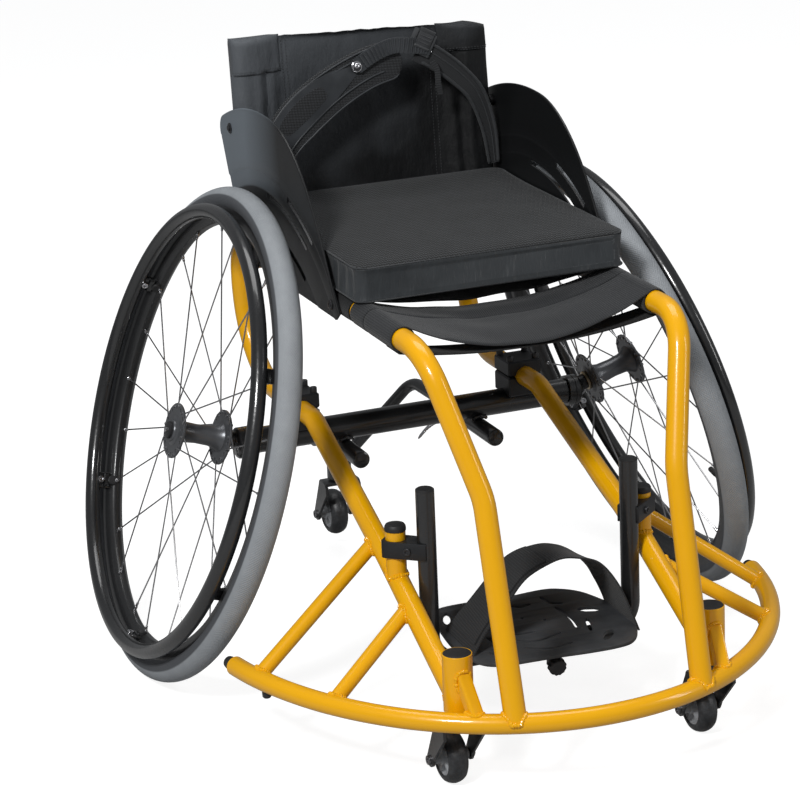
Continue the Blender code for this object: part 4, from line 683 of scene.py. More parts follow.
def tyre_rubber():
    """Grey sports rubber: fine pips over the tread, ribs down the walls, pale scuffs and specks."""
    rubber = Surface("grey_tyre_rubber", "grey_rubber", specular=0.35)
    around, along = rubber.lie()
    middle = abs(around - pi * TYRE_R)
    tread = rubber.ramp(middle, 0.0165, 0.0175, 1.0, 0.0)
    pips = (around * (2 * pi / 0.0032)).sine() * (along * (2 * pi / 0.0036)).sine()
    ribs = (around * (2 * pi / 0.0017)).sine()
    specks = rubber.ramp(rubber.grain(0.0011, 2.0, 0.7), 0.62, 0.74)
    scuffs = rubber.grain(0.02, 4.0, 0.65)
    colour = rubber.mix((0.250, 0.267, 0.285), (0.350, 0.370, 0.390), scuffs)
    colour = rubber.mix(colour, (0.46, 0.475, 0.49), specks * 0.35)
    colour = rubber.mix(colour, (0.085, 0.090, 0.098), rubber.ramp(middle, 0.0225, 0.0245))
    rubber.feed(colour=colour, roughness=0.62 + scuffs * 0.2,
                height=pips * tread * 0.00022 + ribs * (1 - tread) * 0.00010
                + rubber.grain(0.0008) * 0.00008)
    return rubber.material


TYRE = tyre_rubber()
SATIN_ENAMEL = enamel("satin_black_enamel", 0.34, 0.35)
SPOKE_STEEL = bright("drawn_spoke", 0.30, (0.42, 0.42, 0.43))
NIPPLE = bright("plated_nipple", 0.25, (0.66, 0.66, 0.68))
HUB_GREY = anodised("grey_anodised_hub", (0.085, 0.088, 0.094), 0.26)
BRASS = bright("plain_bearing_ring", 0.35, (0.50, 0.42, 0.30))


def hole(radius, x, y, count=14):
    return [(x + u, y + v) for u, v in ring_of(radius, count)]


for side, name in SIDES:
    outward = Vector((side * cos(CAMBER), 0, sin(CAMBER)))
    upward = Vector((-side * sin(CAMBER), 0, cos(CAMBER)))
    AXIS = Matrix((upward.cross(outward), upward, outward)).transposed().to_4x4()
    AXIS.translation = wheel_centre[side]
    body = "wheel_" + name

    shape = Shape()
    section = []
    for i in range(44):
        a = 2 * pi * (i + 0.5) / 44
        r = TYRE_R * (1 - 0.012 * (i % 2 == 0) * (abs(cos(a)) > 0.4))
        section.append((max(TYRE_CENTRE_R + TYRE_R - r - r * cos(a), RIM_SEAT_R - 0.0002), r * sin(a)))
    shape.skin([[(r * u, r * v, z) for r, z in section] for u, v in ring_of(1, 160)], loop=True)
    shape.made("clincher_tyre_" + name, TYRE, body, ["tyre_" + name], AXIS)

    shape = Shape()
    half, flat = 0.0118, 0.0040
    inner = RIM_SEAT_R - RIM_DEPTH
    shape.turn(both_ways([
        (RIM_SEAT_R - 0.0004, -half + 0.0010), (RIM_SEAT_R + 0.0018, -half + 0.0006),
        (RIM_SEAT_R + 0.0022, -half + 0.0001), (RIM_SEAT_R + 0.0012, -half), (RIM_SEAT_R - 0.0085, -half),
        (RIM_SEAT_R - 0.0105, -half + 0.0008), (inner + 0.0018, -flat - 0.0016), (inner + 0.0004, -flat),
        (inner, -flat + 0.0012)]), Matrix(), 160, True)
    shape.made("deep_rim_" + name, SATIN_ENAMEL, body, ["rim_" + name], AXIS)

    hub = Shape()
    hub.turn([(0.0068, HUB_OUT_END), (0.0128, HUB_OUT_END), (0.0136, HUB_OUT_END - 0.0008),
              (0.0140, HUB_OUT_END - 0.0022), (0.0160, FLANGE_OUT + 0.0030), (0.0185, FLANGE_OUT + 0.0018),
              (0.0185, FLANGE_OUT - 0.0020), (0.0160, FLANGE_OUT - 0.0050), (0.0128, 0.0110),
              (0.0118, -0.004), (0.0128, -0.021), (0.0160, FLANGE_IN + 0.0055), (0.0185, FLANGE_IN + 0.0020),
              (0.0185, FLANGE_IN - 0.0018), (0.0150, HUB_IN_END + 0.0004), (0.0144, HUB_IN_END),
              (0.0068, HUB_IN_END)], Matrix(), 72, True)
    spokes, nipples = Shape(), Shape()
    for flange, lean in ((FLANGE_OUT, 1), (FLANGE_IN, -1)):
        first = 0.5 if lean < 0 else 0.0
        holes = [ring_of(0.0175, 48)]
        for i in range(SPOKES):
            a = 2 * pi * (i + first) / SPOKES
            holes.append(hole(0.0017, SPOKE_HOLES_R * cos(a), SPOKE_HOLES_R * sin(a)))
            a += pi / SPOKES
            holes.append(hole(0.0022, 0.0288 * cos(a), 0.0288 * sin(a), 16))
        hub.slab([ring_of(FLANGE_R, 96)] + holes, FLANGE_THICK, Matrix.Translation((0, 0, flange)), 0.0004, 1)
        for i in range(SPOKES):
            lead = 1 if i % 2 else -1
            a = 2 * pi * (i + first) / SPOKES
            b = a + lead * SPOKE_SWEEP
            head = Vector((SPOKE_HOLES_R * cos(a), SPOKE_HOLES_R * sin(a), flange + 0.0022 * lead))
            rim = Vector((inner * cos(b), inner * sin(b), lean * (0.0050 + 0.0022 * lead) * 0.5))
            way = (rim - head).normalized()
            through = Vector((0, 0, lead))
            spokes.tube([head - through * 0.0040, head - through * 0.0008, head + way * 0.0012, rim],
                        SPOKE_R, 8)
            spokes.tube([head - through * 0.0052, head - through * 0.0038], SPOKE_R * 1.8, 10)
            nipples.tube([rim - way * back for back in (0.0090, 0.0086, 0.0040, 0.0036, 0)],
                         [0.0013, 0.0016, 0.0016, 0.0022, 0.0022], 12)
    hub.made("drilled_hub_" + name, HUB_GREY, body, ["hub_" + name], AXIS)
    spokes.made("spokes_" + name, SPOKE_STEEL, body, place=AXIS)
    nipples.made("nipples_" + name, NIPPLE, body, place=AXIS)

    shape = Shape()
    shape.tube([(x, y, HAND_RIM_OUT) for x, y in ring_of(HAND_RIM_R, 160)], HAND_RIM_TUBE_R, 24, loop=True)
    screws, nuts = Shape(), Shape()
    for i in range(6):
        spin = Matrix.Rotation(2 * pi * (i + 0.5) / 6, 4, "Z")
        shape.block((inner + 0.0035, -0.009, -0.0005), (inner + 0.0070, 0.009, HAND_RIM_OUT - 0.004), spin,
                    0.0012)
        shape.block((inner + 0.0005, -0.009, 0.0125), (inner + 0.0070, 0.009, 0.0155), spin, 0.0012)
        inward = Matrix.Rotation(-pi / 2, 4, "Y")
        socket_bolt(screws, spin @ Matrix.Translation((inner + 0.0036, 0, 0.0215)) @ inward, 0.0042, 0.0042)
        nuts.turn([(0.0058, 0), (0.0062, 0.0006), (0.0062, 0.0046), (0.0052, 0.0056), (0.0001, 0.0058)],
                  spin @ Matrix.Translation((inner + 0.0036, 0, 0.0062)) @ inward, 28)
    shape.made("push_rim_" + name, ENAMEL, body, ["hand_rim_" + name], AXIS)
    screws.made("push_rim_screws_" + name, STEEL, body, place=AXIS)
    nuts.made("push_rim_nuts_" + name, PLUG, body, place=AXIS)

    valve = Shape()
    at = Matrix.Rotation(radians(VALVE_AT[side]), 4, "Z") @ Matrix.Translation((inner, 0, 0)) @ inward
    valve.turn([(0.0001, 0.026), (0.0030, 0.0258), (0.0034, 0.0248), (0.0034, 0.0130), (0.0028, 0.0124),
                (0.0032, 0.0040), (0.0040, 0.0005), (0.0040, -0.003)], at, 20)
    valve.made("valve_" + name, PLUG, body, place=AXIS)

# Camber plugs and quick-release axles
# A black plug in each end of the cross tube carries the tilted steel axle; its button frees the
# locking balls, so the wheel comes off.
for side, name in SIDES:
    outward = Vector((side * cos(CAMBER), 0, sin(CAMBER)))
    centre = wheel_centre[side] - Vector((0, wheel_centre[side].y, 0))
    shape = Shape()
    shape.rod(Vector((side * CAMBER_HALF, 0, CAMBER_Z)), Vector((side, 0, 0)),
              [(-0.030, 0.0122), (0.0003, 0.0122), (0.0003, 0.0190), (0.0010, COLLAR_R), (0.0076, COLLAR_R),
               (0.0080, 0.0186), (0.0092, 0.0186), (0.0096, COLLAR_R), (0.0150, COLLAR_R),
               (0.0172, 0.0178), (0.0183, 0.0150)], 56)
    shape.rod(centre, outward, [(HUB_IN_END - 0.0265, 0.0110), (HUB_IN_END - 0.0125, 0.0110),
                                (HUB_IN_END - 0.0115, 0.0100), (HUB_IN_END - 0.0045, 0.0100)], 40)
    shape.made("camber_plug_" + name, ENAMEL, "frame", ["axle_" + name])
    pin = Shape()
    head = HUB_OUT_END + 0.0003
    pin.turn([(0.0036, head + 0.0036), (0.0036, head + 0.0042), (0.0088, head + 0.0042),
              (0.0102, head + 0.0034), (0.0105, head + 0.0022), (0.0105, head), (0.0063, head),
              (0.0063, HUB_IN_END - 0.012), (0.0036, HUB_IN_END - 0.012)],
             crossways(outward, centre), 40, True)
    pin.made("release_pin_" + name, BOLT_BLACK)
    ring = Shape()
    ring.turn([(0.0066, HUB_IN_END - 0.0006), (0.0118, HUB_IN_END - 0.0006), (0.0126, HUB_IN_END - 0.0014),
               (0.0126, HUB_IN_END - 0.0034), (0.0118, HUB_IN_END - 0.0042), (0.0066, HUB_IN_END - 0.0042)],
              crossways(outward, centre), 48, True)
    ring.made("axle_washer_" + name, BRASS)
    knob = Shape()
    knob.turn([(0.0001, head + 0.0070), (0.0024, head + 0.0069), (0.0032, head + 0.0062),
               (0.0033, head + 0.0010), (0.0001, head + 0.0006)], crossways(outward, centre), 32)
    knob.made("release_button_" + name, STEEL, "axle_button_" + name, ["axle_button_" + name])

# Casters
# Solid 62 mm casters with spoked nylon centres in flat black steel forks. The stem turns in two
# sealed bearings in the yellow housing; the anti-tip caster behind is the same, a little longer.
CASTER_R = 0.031
CASTER_HALF = 0.012
FORK_HALF = 0.0215
FORK_LEG = 0.0040
FORK_TOP = 0.0865
CASTER_TRAIL = 0.030
ANTITIP_Y = 0.272
ANTITIP_TRAIL = 0.029
ANTITIP_LIFT = 0.017


def caster_rubber():
    """Dark rubber tread, dusty in patches."""
    rubber = Surface("caster_tread_rubber", "caster_rubber", specular=0.6)
    dust = rubber.grain(0.006, 4.0, 0.65)
    rubber.feed(colour=rubber.mix((0.018, 0.019, 0.021), (0.060, 0.063, 0.068),
                                  rubber.ramp(dust, 0.42, 0.8)),
                roughness=0.30 + dust * 0.25, height=rubber.grain(0.0009) * 0.00006)
    return rubber.material


CASTER_TREAD = caster_rubber()
NYLON = moulded("grey_nylon", "caster_rubber", (0.240, 0.247, 0.257), 0.32)
FORK_PAINT = enamel("fork_enamel", 0.26, 0.6)
ZINC = bright("zinc_plated", 0.30, (0.24, 0.24, 0.25))


def caster(label, fork_node, wheel_node, fork_body, wheel_body, x, y, trail, lift, stem_top):
    """One fork and wheel; the fork's crown is folded from plate and welded to the stem."""
    at = Matrix.Translation((x, y, lift))
    fork = Shape()
    outline = [(-0.0145, FORK_TOP - 0.016), (-0.0140, FORK_TOP - 0.006), (-0.0100, FORK_TOP - 0.0015),
               (-0.0060, FORK_TOP), (0.0090, FORK_TOP), (0.0125, FORK_TOP - 0.002),
               (0.0142, FORK_TOP - 0.007)]
    outline += [(trail + 0.0085 * cos(a), CASTER_R + 0.0085 * sin(a))
                for a in [radians(14 - 11 * i) for i in range(19)]]
    for way in (-1, 1):
        sideways = Matrix(((0, 0, 1, way * (FORK_HALF + FORK_LEG / 2)), (1, 0, 0, 0), (0, 1, 0, 0),
                           (0, 0, 0, 1)))
        fork.slab([outline, hole(0.0034, trail, CASTER_R)], FORK_LEG, at @ sideways, 0.0005, 1)
    half = FORK_HALF + FORK_LEG - 0.0004
    fork.block((-half, -0.0125, FORK_TOP - 0.0052), (half, 0.0125, FORK_TOP), at, 0.0016)
    low = 0.0965 if lift == 0 else FORK_TOP + 0.0022 + lift
    fork.turn([(0.0105, FORK_TOP - 0.002), (0.0105, FORK_TOP + 0.0008), (0.0084, FORK_TOP + 0.0022),
               (0.0078, low - lift + 0.004)], at, 40)
    fork.made("fork_" + label, FORK_PAINT, fork_body, [fork_node])
    metal = Shape()
    for base in (low - lift, stem_top - lift - 0.008):
        metal.turn([(0.0063, base), (0.0124, base), (0.0127, base + 0.0004), (0.0127, base + 0.0076),
                    (0.0124, base + 0.008), (0.0063, base + 0.008)], at, 40, True)
    metal.turn([(0.0060, low - lift), (0.0060, stem_top - lift - 0.001), (0.0001, stem_top - lift)], at, 28)
    reach = FORK_HALF + FORK_LEG
    hub = at @ Matrix.Translation((0, trail, CASTER_R))
    socket_bolt(metal, hub @ crossways((-1, 0, 0), (-reach, 0, 0)), 0.0054, 0.0030)
    metal.turn([(0.0060, 0), (0.0064, 0.0004), (0.0064, 0.0008), (0.0060, 0.0010)],
               hub @ crossways((1, 0, 0), (reach, 0, 0)), 30)
    metal.turn([(0.0055, 0.0010), (0.0055, 0.0026), (0.0046, 0.0030), (0.0001, 0.0030)],
               hub @ crossways((1, 0, 0), (reach, 0, 0)), 6)
    metal.turn([(0.0030, -reach), (0.0030, reach)], hub @ crossways((1, 0, 0)), 20)
    metal.made("caster_bolt_" + label, ZINC, fork_body)

    wheel, centre = Shape(), Shape()
    turned = hub @ crossways((1, 0, 0))
    h = CASTER_HALF
    wheel.turn(both_ways([
        (0.0205, h - 0.0022), (0.0212, h - 0.0006), (0.0222, h), (0.0245, h - 0.0004), (0.0272, h - 0.0020),
        (0.0292, h - 0.0048), (0.0304, h - 0.0080), (CASTER_R, 0.0007), (CASTER_R - 0.0002, 0.0003)]),
        turned, 80, True)
    wheel.made("caster_tread_" + label, CASTER_TREAD, wheel_body, [wheel_node])
    end = FORK_HALF - 0.0008
    for way in (-1, 1):
        centre.turn([(0.0034, way * end), (0.0058, way * end), (0.0062, way * (end - 0.0004)),
                     (0.0062, way * (h + 0.0016)), (0.0034, way * (h + 0.0016))], turned, 36, True)
    centre.turn(both_ways([
        (0.0036, h + 0.0018), (0.0072, h + 0.0018), (0.0082, h + 0.0008), (0.0088, h - 0.0040),
        (0.0098, h - 0.0058), (0.0178, h - 0.0058), (0.0190, h - 0.0022), (0.0207, h - 0.0020)]),
        turned, 60, True)
    for i in range(5):
        spin = turned @ Matrix.Rotation(2 * pi * i / 5, 4, "Z")
        centre.block((0.0078, -0.0022, 0.0014 - h), (0.0202, 0.0022, h - 0.0014), spin, 0.0006)
    centre.made("caster_centre_" + label, NYLON, wheel_body)


for side, name in SIDES:
    caster("front_" + name, "caster_fork_" + name, "caster_wheel_" + name, "caster_fork_" + name,
           "caster_wheel_" + name, side * HOUSING_X, HOUSING_Y, CASTER_TRAIL, 0, 0.150)

# Anti-tip
# Two bent black tubes slide into the receivers, rise over the back of the camber tube, and meet at
# a short upright housing with the rear caster in it, hung clear of the floor.
ARM_R = 0.0079
REAR_HOUSING_R = 0.0165
REAR_HOUSING_LOW = ANTITIP_LIFT + FORK_TOP + 0.002
REAR_HOUSING_TOP = REAR_HOUSING_LOW + 0.044
shape = Shape()
low, top = REAR_HOUSING_LOW, REAR_HOUSING_TOP
shape.turn([(0.0001, top), (0.0140, top), (0.0158, top - 0.0006), (REAR_HOUSING_R, top - 0.0020),
            (REAR_HOUSING_R, low + 0.0010), (0.0158, low), (0.0130, low), (0.0130, low + 0.012),
            (0.0001, low + 0.012)], Matrix.Translation((0, ANTITIP_Y, 0)), 56)
wall = [Vector((0, ANTITIP_Y, low)), Vector((0, ANTITIP_Y, top))]
for side in (-1, 1):
    path = on_side(bent([((RECEIVER_X, -0.030, RECEIVER_Z), 0), ((RECEIVER_X, 0.140, RECEIVER_Z), 0.020),
                         ((0.083, 0.200, 0.249), 0.030), ((0, ANTITIP_Y - 0.004, 0.128), 0)]), side)
    shape.tube(path, ARM_R, 28)
    weld(shape, path[-1].lerp(path[-2], 0.4), path[-1] - path[-2], ARM_R, wall, REAR_HOUSING_R, 0.0022)
shape.made("antitip_forked_tube", ENAMEL, "antitip_arm", ["antitip_arm"])
caster("rear", "antitip_fork", "caster_wheel_rear", "antitip_fork", "antitip_wheel", 0, ANTITIP_Y,
       ANTITIP_TRAIL, ANTITIP_LIFT, REAR_HOUSING_TOP - 0.006)

# Footrest
# A black U tube slides in two clamps on the yellow posts. A thin moulded plate with slots and ribs
# tilts on its cross bar, locked by a knob under the toes, and a wide webbing arch holds the feet.
FOOT_X = 0.1275
FOOT_Y = -0.3645
FOOT_R = 0.0110
FOOT_TOP = {-1: 0.3075, 1: 0.3030}
BAR_Z = 0.092
PLATE_TILT = radians(6.7)
PLATE_MID_Z = 0.1160
PLATE_THICK = 0.0045
FOOT_CLAMP_Z = 0.2335
KNOB_OUT = -0.432 - FOOT_Y           # the knob's middle, from the cross bar
shape = Shape()
path = bent([((-FOOT_X, FOOT_Y, FOOT_TOP[-1] - 0.0028), 0), ((-FOOT_X, FOOT_Y, BAR_Z), 0.035),
             ((FOOT_X, FOOT_Y, BAR_Z), 0.035), ((FOOT_X, FOOT_Y, FOOT_TOP[1] - 0.0028), 0)])
shape.tube(path, FOOT_R, 36)
shape.made("footrest_u_tube", FORK_PAINT, "footrest", ["footrest_tube"])
for side, name in SIDES:
    shape = Shape()
    shape.turn([(FOOT_R - 0.0002, -0.0036), (FOOT_R, -0.0030), (FOOT_R - 0.0002, -0.0014),
                (FOOT_R - 0.0016, -0.0003), (0.0060, 0), (0.0001, 0)],
               Matrix.Translation((side * FOOT_X, FOOT_Y, FOOT_TOP[side])), 44)
    shape.made("footrest_plug_" + name, PLUG, "footrest")
    a, b = Vector((side * HOUSING_X, POST_Y)), Vector((side * FOOT_X, FOOT_Y))
    way = (b - a).normalized()
    wide = Vector((-way.y, way.x))
    grip, lip = FOOT_R + 0.0002, 0.0035
    tip = acos(lip / grip)
    jaws = [bent([((*(a - way * 0.0140), 0), 0), ((*(a - way * 0.0140 + wide * half * 0.0145), 0), 0.006),
                  ((*(b + way * lip + wide * half * 0.0135), 0), 0.0012),
                  ((*(b + way * lip + wide * half * 0.0108), 0), 0)], radians(18)) for half in (1, -1)]
    bore = [Vector((*(b + (way * cos(t) + wide * sin(t)) * grip), 0))
            for t in [tip + (2 * pi - 2 * tip) * i / 24 for i in range(25)]]
    shape = Shape()
    shape.slab([[(p.x, p.y) for p in jaws[0] + bore + jaws[1][:0:-1]],
                hole(POST_R + 0.0002, a.x, a.y, 40)],
               0.020, Matrix.Translation((0, 0, FOOT_CLAMP_Z)), 0.0004)
    shape.made("footrest_block_" + name, ANODISED, "frame", ["footrest_clamp_" + name])
    bolts = Shape()
    for way_out in (-1, 1):
        at = a.lerp(b, 0.5) + wide * way_out * 0.0132
        socket_bolt(bolts, crossways((*(wide * way_out), 0), (*at, FOOT_CLAMP_Z)), 0.0046, 0.0032)
    bolts.made("footrest_bolts_" + name, BOLT_BLACK)

tilt = Matrix.Translation((0, FOOT_Y, BAR_Z)) @ Matrix.Rotation(PLATE_TILT, 4, "X")
PLATE_UP = PLATE_MID_Z - BAR_Z
edge = [(0.000, 0.0735), (0.045, 0.0755), (0.0670, 0.0690), (0.0860, 0.0540), (0.0995, 0.0304),
        (0.1085, 0.0082), (0.1130, -0.0134), (0.1115, -0.0394), (0.1045, -0.0629), (0.0900, -0.0790),
        (0.0692, -0.0838), (0.0340, -0.0832), (-0.0020, -0.0800), (-0.0385, -0.0782),
        (-0.0700, -0.0762), (-0.0910, -0.0660), (-0.1020, -0.0434), (-0.1080, -0.0134),
        (-0.1070, 0.0200), (-0.1035, 0.0500), (-0.0960, 0.0680), (-0.0830, 0.0765), (-0.0470, 0.0772)]
outline = [(p.x, p.y) for p in flowing([Vector((x, y, 0)) for x, y in edge + edge[:1]], 5)[:-1]]


def slot(half, *points):
    """A round-ended slot of a half width, cut along a line of points on the plate."""
    line = flowing([Vector((x, y, 0)) for x, y in points], 6) if len(points) > 2 else [
        Vector((*points[0], 0)).lerp(Vector((*points[1], 0)), i / 4) for i in range(5)]
    there, back = [], []
    for i, spot in enumerate(line):
        way = (line[min(i + 1, len(line) - 1)] - line[max(i - 1, 0)]).normalized()
        share = half * (0.6 if i in (0, len(line) - 1) else 1.0)
        there.append((spot.x - way.y * share, spot.y + way.x * share))
        back.append((spot.x + way.y * share, spot.y - way.x * share))
    first = line[0] - (line[1] - line[0]).normalized() * half * 0.6
    last = line[-1] + (line[-1] - line[-2]).normalized() * half * 0.6
    return there + [(last.x, last.y)] + back[::-1] + [(first.x, first.y)]


holes = [slot(0.0042, (-0.0840, 0.0600), (-0.0930, 0.0370)),
         slot(0.0036, (-0.0630, 0.0570), (-0.0715, 0.0420)),
         slot(0.0040, (-0.0960, 0.0100), (-0.0900, -0.0120)),
         slot(0.0058, (0.0660, 0.0130), (0.0880, 0.0060)),
         slot(0.0028, (0.0640, -0.0120), (0.0560, -0.0390)),
         slot(0.0052, (0.0630, -0.0640), (0.0780, -0.0480)),
         slot(0.0022, (-0.0640, -0.0120), (-0.0560, -0.0390)),
         slot(0.0036, (-0.0620, -0.0580), (-0.0740, -0.0460)),
         slot(0.0021, (-0.0476, 0.0015), (-0.0300, -0.0159), (-0.0055, -0.0177)),
         slot(0.0021, (-0.0447, -0.0206), (-0.0155, -0.0390), (0.0204, -0.0316)),
         slot(0.0021, (-0.0321, -0.0500), (-0.0064, -0.0617), (0.0231, -0.0578)),
         slot(0.0021, (0.0351, 0.0579), (0.0400, 0.0400), (0.0529, 0.0344)),
         slot(0.0021, (0.0410, 0.0282), (0.0468, -0.0011), (0.0440, -0.0293)),
         slot(0.0021, (-0.0072, 0.0499), (0.0027, 0.0435), (0.0167, 0.0459)),
         hole(0.0021, -0.0064, 0.0172), hole(0.0021, 0.0165, 0.0040)]
shape = Shape()
shape.slab([outline] + holes, PLATE_THICK, tilt @ Matrix.Translation((0, 0, PLATE_UP + PLATE_THICK / 2)),
           0.0005)
SATIN_MOULD = moulded("satin_black_moulding", "satin_black_plastic", (0.042, 0.044, 0.047), 0.36)
shape.made("foot_plate", SATIN_MOULD, "footplate", ["footplate"])

shape = Shape()
shape.turn(both_ways([(FOOT_R + 0.0003, 0.016), (FOOT_R + 0.0046, 0.016), (FOOT_R + 0.005, 0.0156)]),
           tilt @ crossways((1, 0, 0)), 56, True)
shape.block((-0.0096, KNOB_OUT + 0.012, PLATE_UP - 0.0075), (0.0096, -FOOT_R - 0.0013, PLATE_UP - 0.0003),
            tilt, 0.0010)
shape.block((-0.016, -0.018, FOOT_R + 0.002), (0.016, 0.018, PLATE_UP - 0.0003), tilt, 0.0010)
shape.block((-0.006, KNOB_OUT + 0.006, PLATE_UP - 0.022), (0.006, KNOB_OUT + 0.016, PLATE_UP - 0.002), tilt,
            0.0010)
shape.made("plate_bracket", SATIN_MOULD, "footplate", ["footplate_bracket"])
shape = Shape()
rows = []
for r, out in ((0.0002, 0.0070), (0.0050, 0.0070), (0.0086, 0.0066), (0.0100, 0.0050), (0.0104, 0.0020),
               (0.0104, -0.0020), (0.0098, -0.0042), (0.0080, -0.0050), (0.0002, -0.0050)):
    rows.append([])
    for a in [2 * pi * i / 48 for i in range(48)]:
        lobed = r * (1 - 0.05 * (r > 0.009) * cos(12 * a))
        rows[-1].append(tilt @ Vector((lobed * cos(a), KNOB_OUT - out, PLATE_UP - 0.017 + lobed * sin(a))))
shape.skin(rows)
shape.made("plate_knob", PLUG, "footplate_knob", ["footplate_knob"])

# Foot strap
# Two layers of 72 mm hook-and-loop webbing in an arch over the plate: the ends stand at the
# plate's edges, and the upper layer's tail is pressed down on the left half.


def ribbed_webbing(name, rib, colour=(0.016, 0.0165, 0.0175), light=(0.040, 0.042, 0.045)):
    """Flat nylon webbing: cross ribs with a fine twill over them and a light fuzz."""
    web = Surface(name, "webbing", specular=0.25, sheen=0.12, sheen_roughness=0.5)
    across, along = web.lie()
    ribs = (along * (2 * pi / rib)).sine() * 0.5 + 0.5
    twill = ((across * (2 * pi / 0.0013)) + (along * (2 * pi / 0.0026))).sine() * 0.5 + 0.5
    fuzz = web.grain(0.0012, 3.0, 0.7)
    broad = web.grain(0.025, 2.0)
    web.feed(colour=web.mix(web.mix(colour, light, ribs * 0.4 + twill * 0.25 + broad * 0.2),
                            (0.06, 0.062, 0.066), web.ramp(fuzz, 0.62, 0.8) * 0.4),
             roughness=0.72 + fuzz * 0.15, height=ribs * 0.00028 + twill * 0.00010 + fuzz * 0.00006)
    return web.material


def strip(width, thickness, count):
    """The section of a flat strap, its edges rounded, in metres."""
    top = [(width * (i / count - 0.5) * 0.985, thickness / 2) for i in range(count + 1)]
    return [(-width / 2, 0)] + top + [(width / 2, 0)] + [(u, v - thickness) for u, v in top[::-1]]


WEBBING = ribbed_webbing("foot_strap_webbing", 0.0030)
rear_edge = ((-0.1010, -0.3445, 0.1140), (-0.0962, -0.3445, 0.1265), (-0.0730, -0.3445, 0.1475),
             (-0.0470, -0.3445, 0.1765), (-0.0200, -0.3445, 0.1985), (0.0105, -0.3445, 0.2057),
             (0.045, -0.3445, 0.2010), (0.0763, -0.3445, 0.1770), (0.0900, -0.3445, 0.1530),
             (0.1000, -0.3445, 0.1280), (0.1030, -0.3445, 0.1150))
front_edge = ((-0.0990, -0.4165, 0.1020), (-0.0925, -0.4155, 0.1185), (-0.078, -0.4145, 0.140),
              (-0.0470, -0.4145, 0.1740), (-0.0220, -0.4145, 0.1990), (0.0080, -0.4145, 0.2110),
              (0.0370, -0.4145, 0.2100), (0.0640, -0.4145, 0.1990), (0.0905, -0.4145, 0.1650),
              (0.1065, -0.4165, 0.1260), (0.1130, -0.4165, 0.1080))


def arch(share, first=0, last=-1):
    """A line along the strap at a share of its width, from the rear edge to the front one."""
    return flowing([Vector(a).lerp(Vector(b), share) for a, b in zip(rear_edge, front_edge)], 8)[first:last]


def strap_layer(name, first, last, lift, shares, thickness):
    """One layer of the webbing, lifted off the line between the two edges and cut square."""
    lines = [arch(share, first, last) for share in shares]
    rows = []
    for i in range(len(lines[0])):
        row = [line[i] for line in lines]
        way = lines[0][min(i + 1, len(lines[0]) - 1)] - lines[0][max(i - 1, 0)]
        up = way.cross(row[-1] - row[0]).normalized()
        up *= 1 if up.z > 0 else -1
        bow = [0.0022 * noise.noise((p.x * 30, p.y * 18, 4.0)) for p in row]
        rows.append([p + up * (lift + thickness + b) for p, b in zip(row, bow)]
                    + [p + up * (lift + b) for p, b in zip(row[::-1], bow[::-1])])
    shape = Shape()
    shape.skin(rows)
    return shape.made(name, WEBBING, "footplate", ["foot_strap"] if lift == 0 else (), sharp=60)


shares = [i / 14 for i in range(15)]
strap = strap_layer("foot_strap_webbing", 0, 81, 0, shares, 0.0020)
tail = strap_layer("foot_strap_tail", 10, 39, 0.0023, shares[1:-1], 0.0022)

# Seat slings
# Heavy black webbing sewn into sleeves round the two seat rails: a broad sling under the cushion,
# a narrow one behind its front edge, and a slack band before the knees with a bound lower hem.
SLING_WALL = 0.0024
SLING_TOP = RAIL_R + 0.0003
SLING_CLOTH = ribbed_webbing("sling_webbing", 0.0026, (0.010, 0.0105, 0.0115), (0.046, 0.049, 0.053))
HEM = ribbed_webbing("sling_hem", 0.0016, (0.007, 0.0072, 0.0076), (0.016, 0.0165, 0.0175))


def sling_line(sag):
    """Seen from the front: once round the left rail, across with its sag, and round the right one."""
    r = SLING_TOP + SLING_WALL / 2
    start, stop = radians(20), radians(412)
    left = [(-RAIL_X + r * cos(start + (stop - start) * i / 30), r * sin(start + (stop - start) * i / 30))
            for i in range(31)]
    x0, z0 = left[-1]
    middle = []
    for i in range(1, 40):
        u = 2 * i / 40 - 1
        middle.append((-x0 * u, z0 - (sag + z0) * (1 - u * u) ** 0.9))
    return left + middle + [(-x, z) for x, z in left[::-1]]


def sling(name, y0, y1, sag, surface, replaces=(), slack=0.0):
    """One band of webbing between the rails, a little wavy where it hangs free."""
    line = [Vector((x, 0, z)) for x, z in sling_line(sag)]
    rows = []
    for i, point in enumerate(line):
        way = (line[min(i + 1, len(line) - 1)] - line[max(i - 1, 0)]).normalized()
        out = Vector((-way.z, 0, way.x)) * SLING_WALL / 2
        free = max(0.0, 1 - (point.x / 0.14) ** 2)
        ring = []
        for j in range(17):
            t = j / 16
            thin = 0.55 if j in (0, 16) else 1
            along = y0 + (y1 - y0) * t + 0.003 * free * noise.noise((point.x * 14, t, sag * 90))
            up = 0.0024 * free * noise.noise((point.x * 22, t * 2.5, sag * 50))
            at = point + Vector((0, along, SEAT_RAIL_Z - slack * free * (1 - t) ** 2 + up))
            ring.append((at + out * thin, at - out * thin))
        rows.append([outer for outer, inner in ring] + [inner for outer, inner in ring[::-1]])
    shape = Shape()
    shape.skin(rows)
    return shape.made(name, surface, "frame", replaces, sharp=75)


piece = sling("front_sling_band", -0.387, -0.305, 0.0155, SLING_CLOTH, ["sling_front"], slack=0.011)
piece = sling("second_sling_band", -0.3035, -0.262, 0.011, SLING_CLOTH, (), slack=0.006)
piece = sling("main_sling", -0.256, 0.052, 0.004, HEM, ["sling_main"])

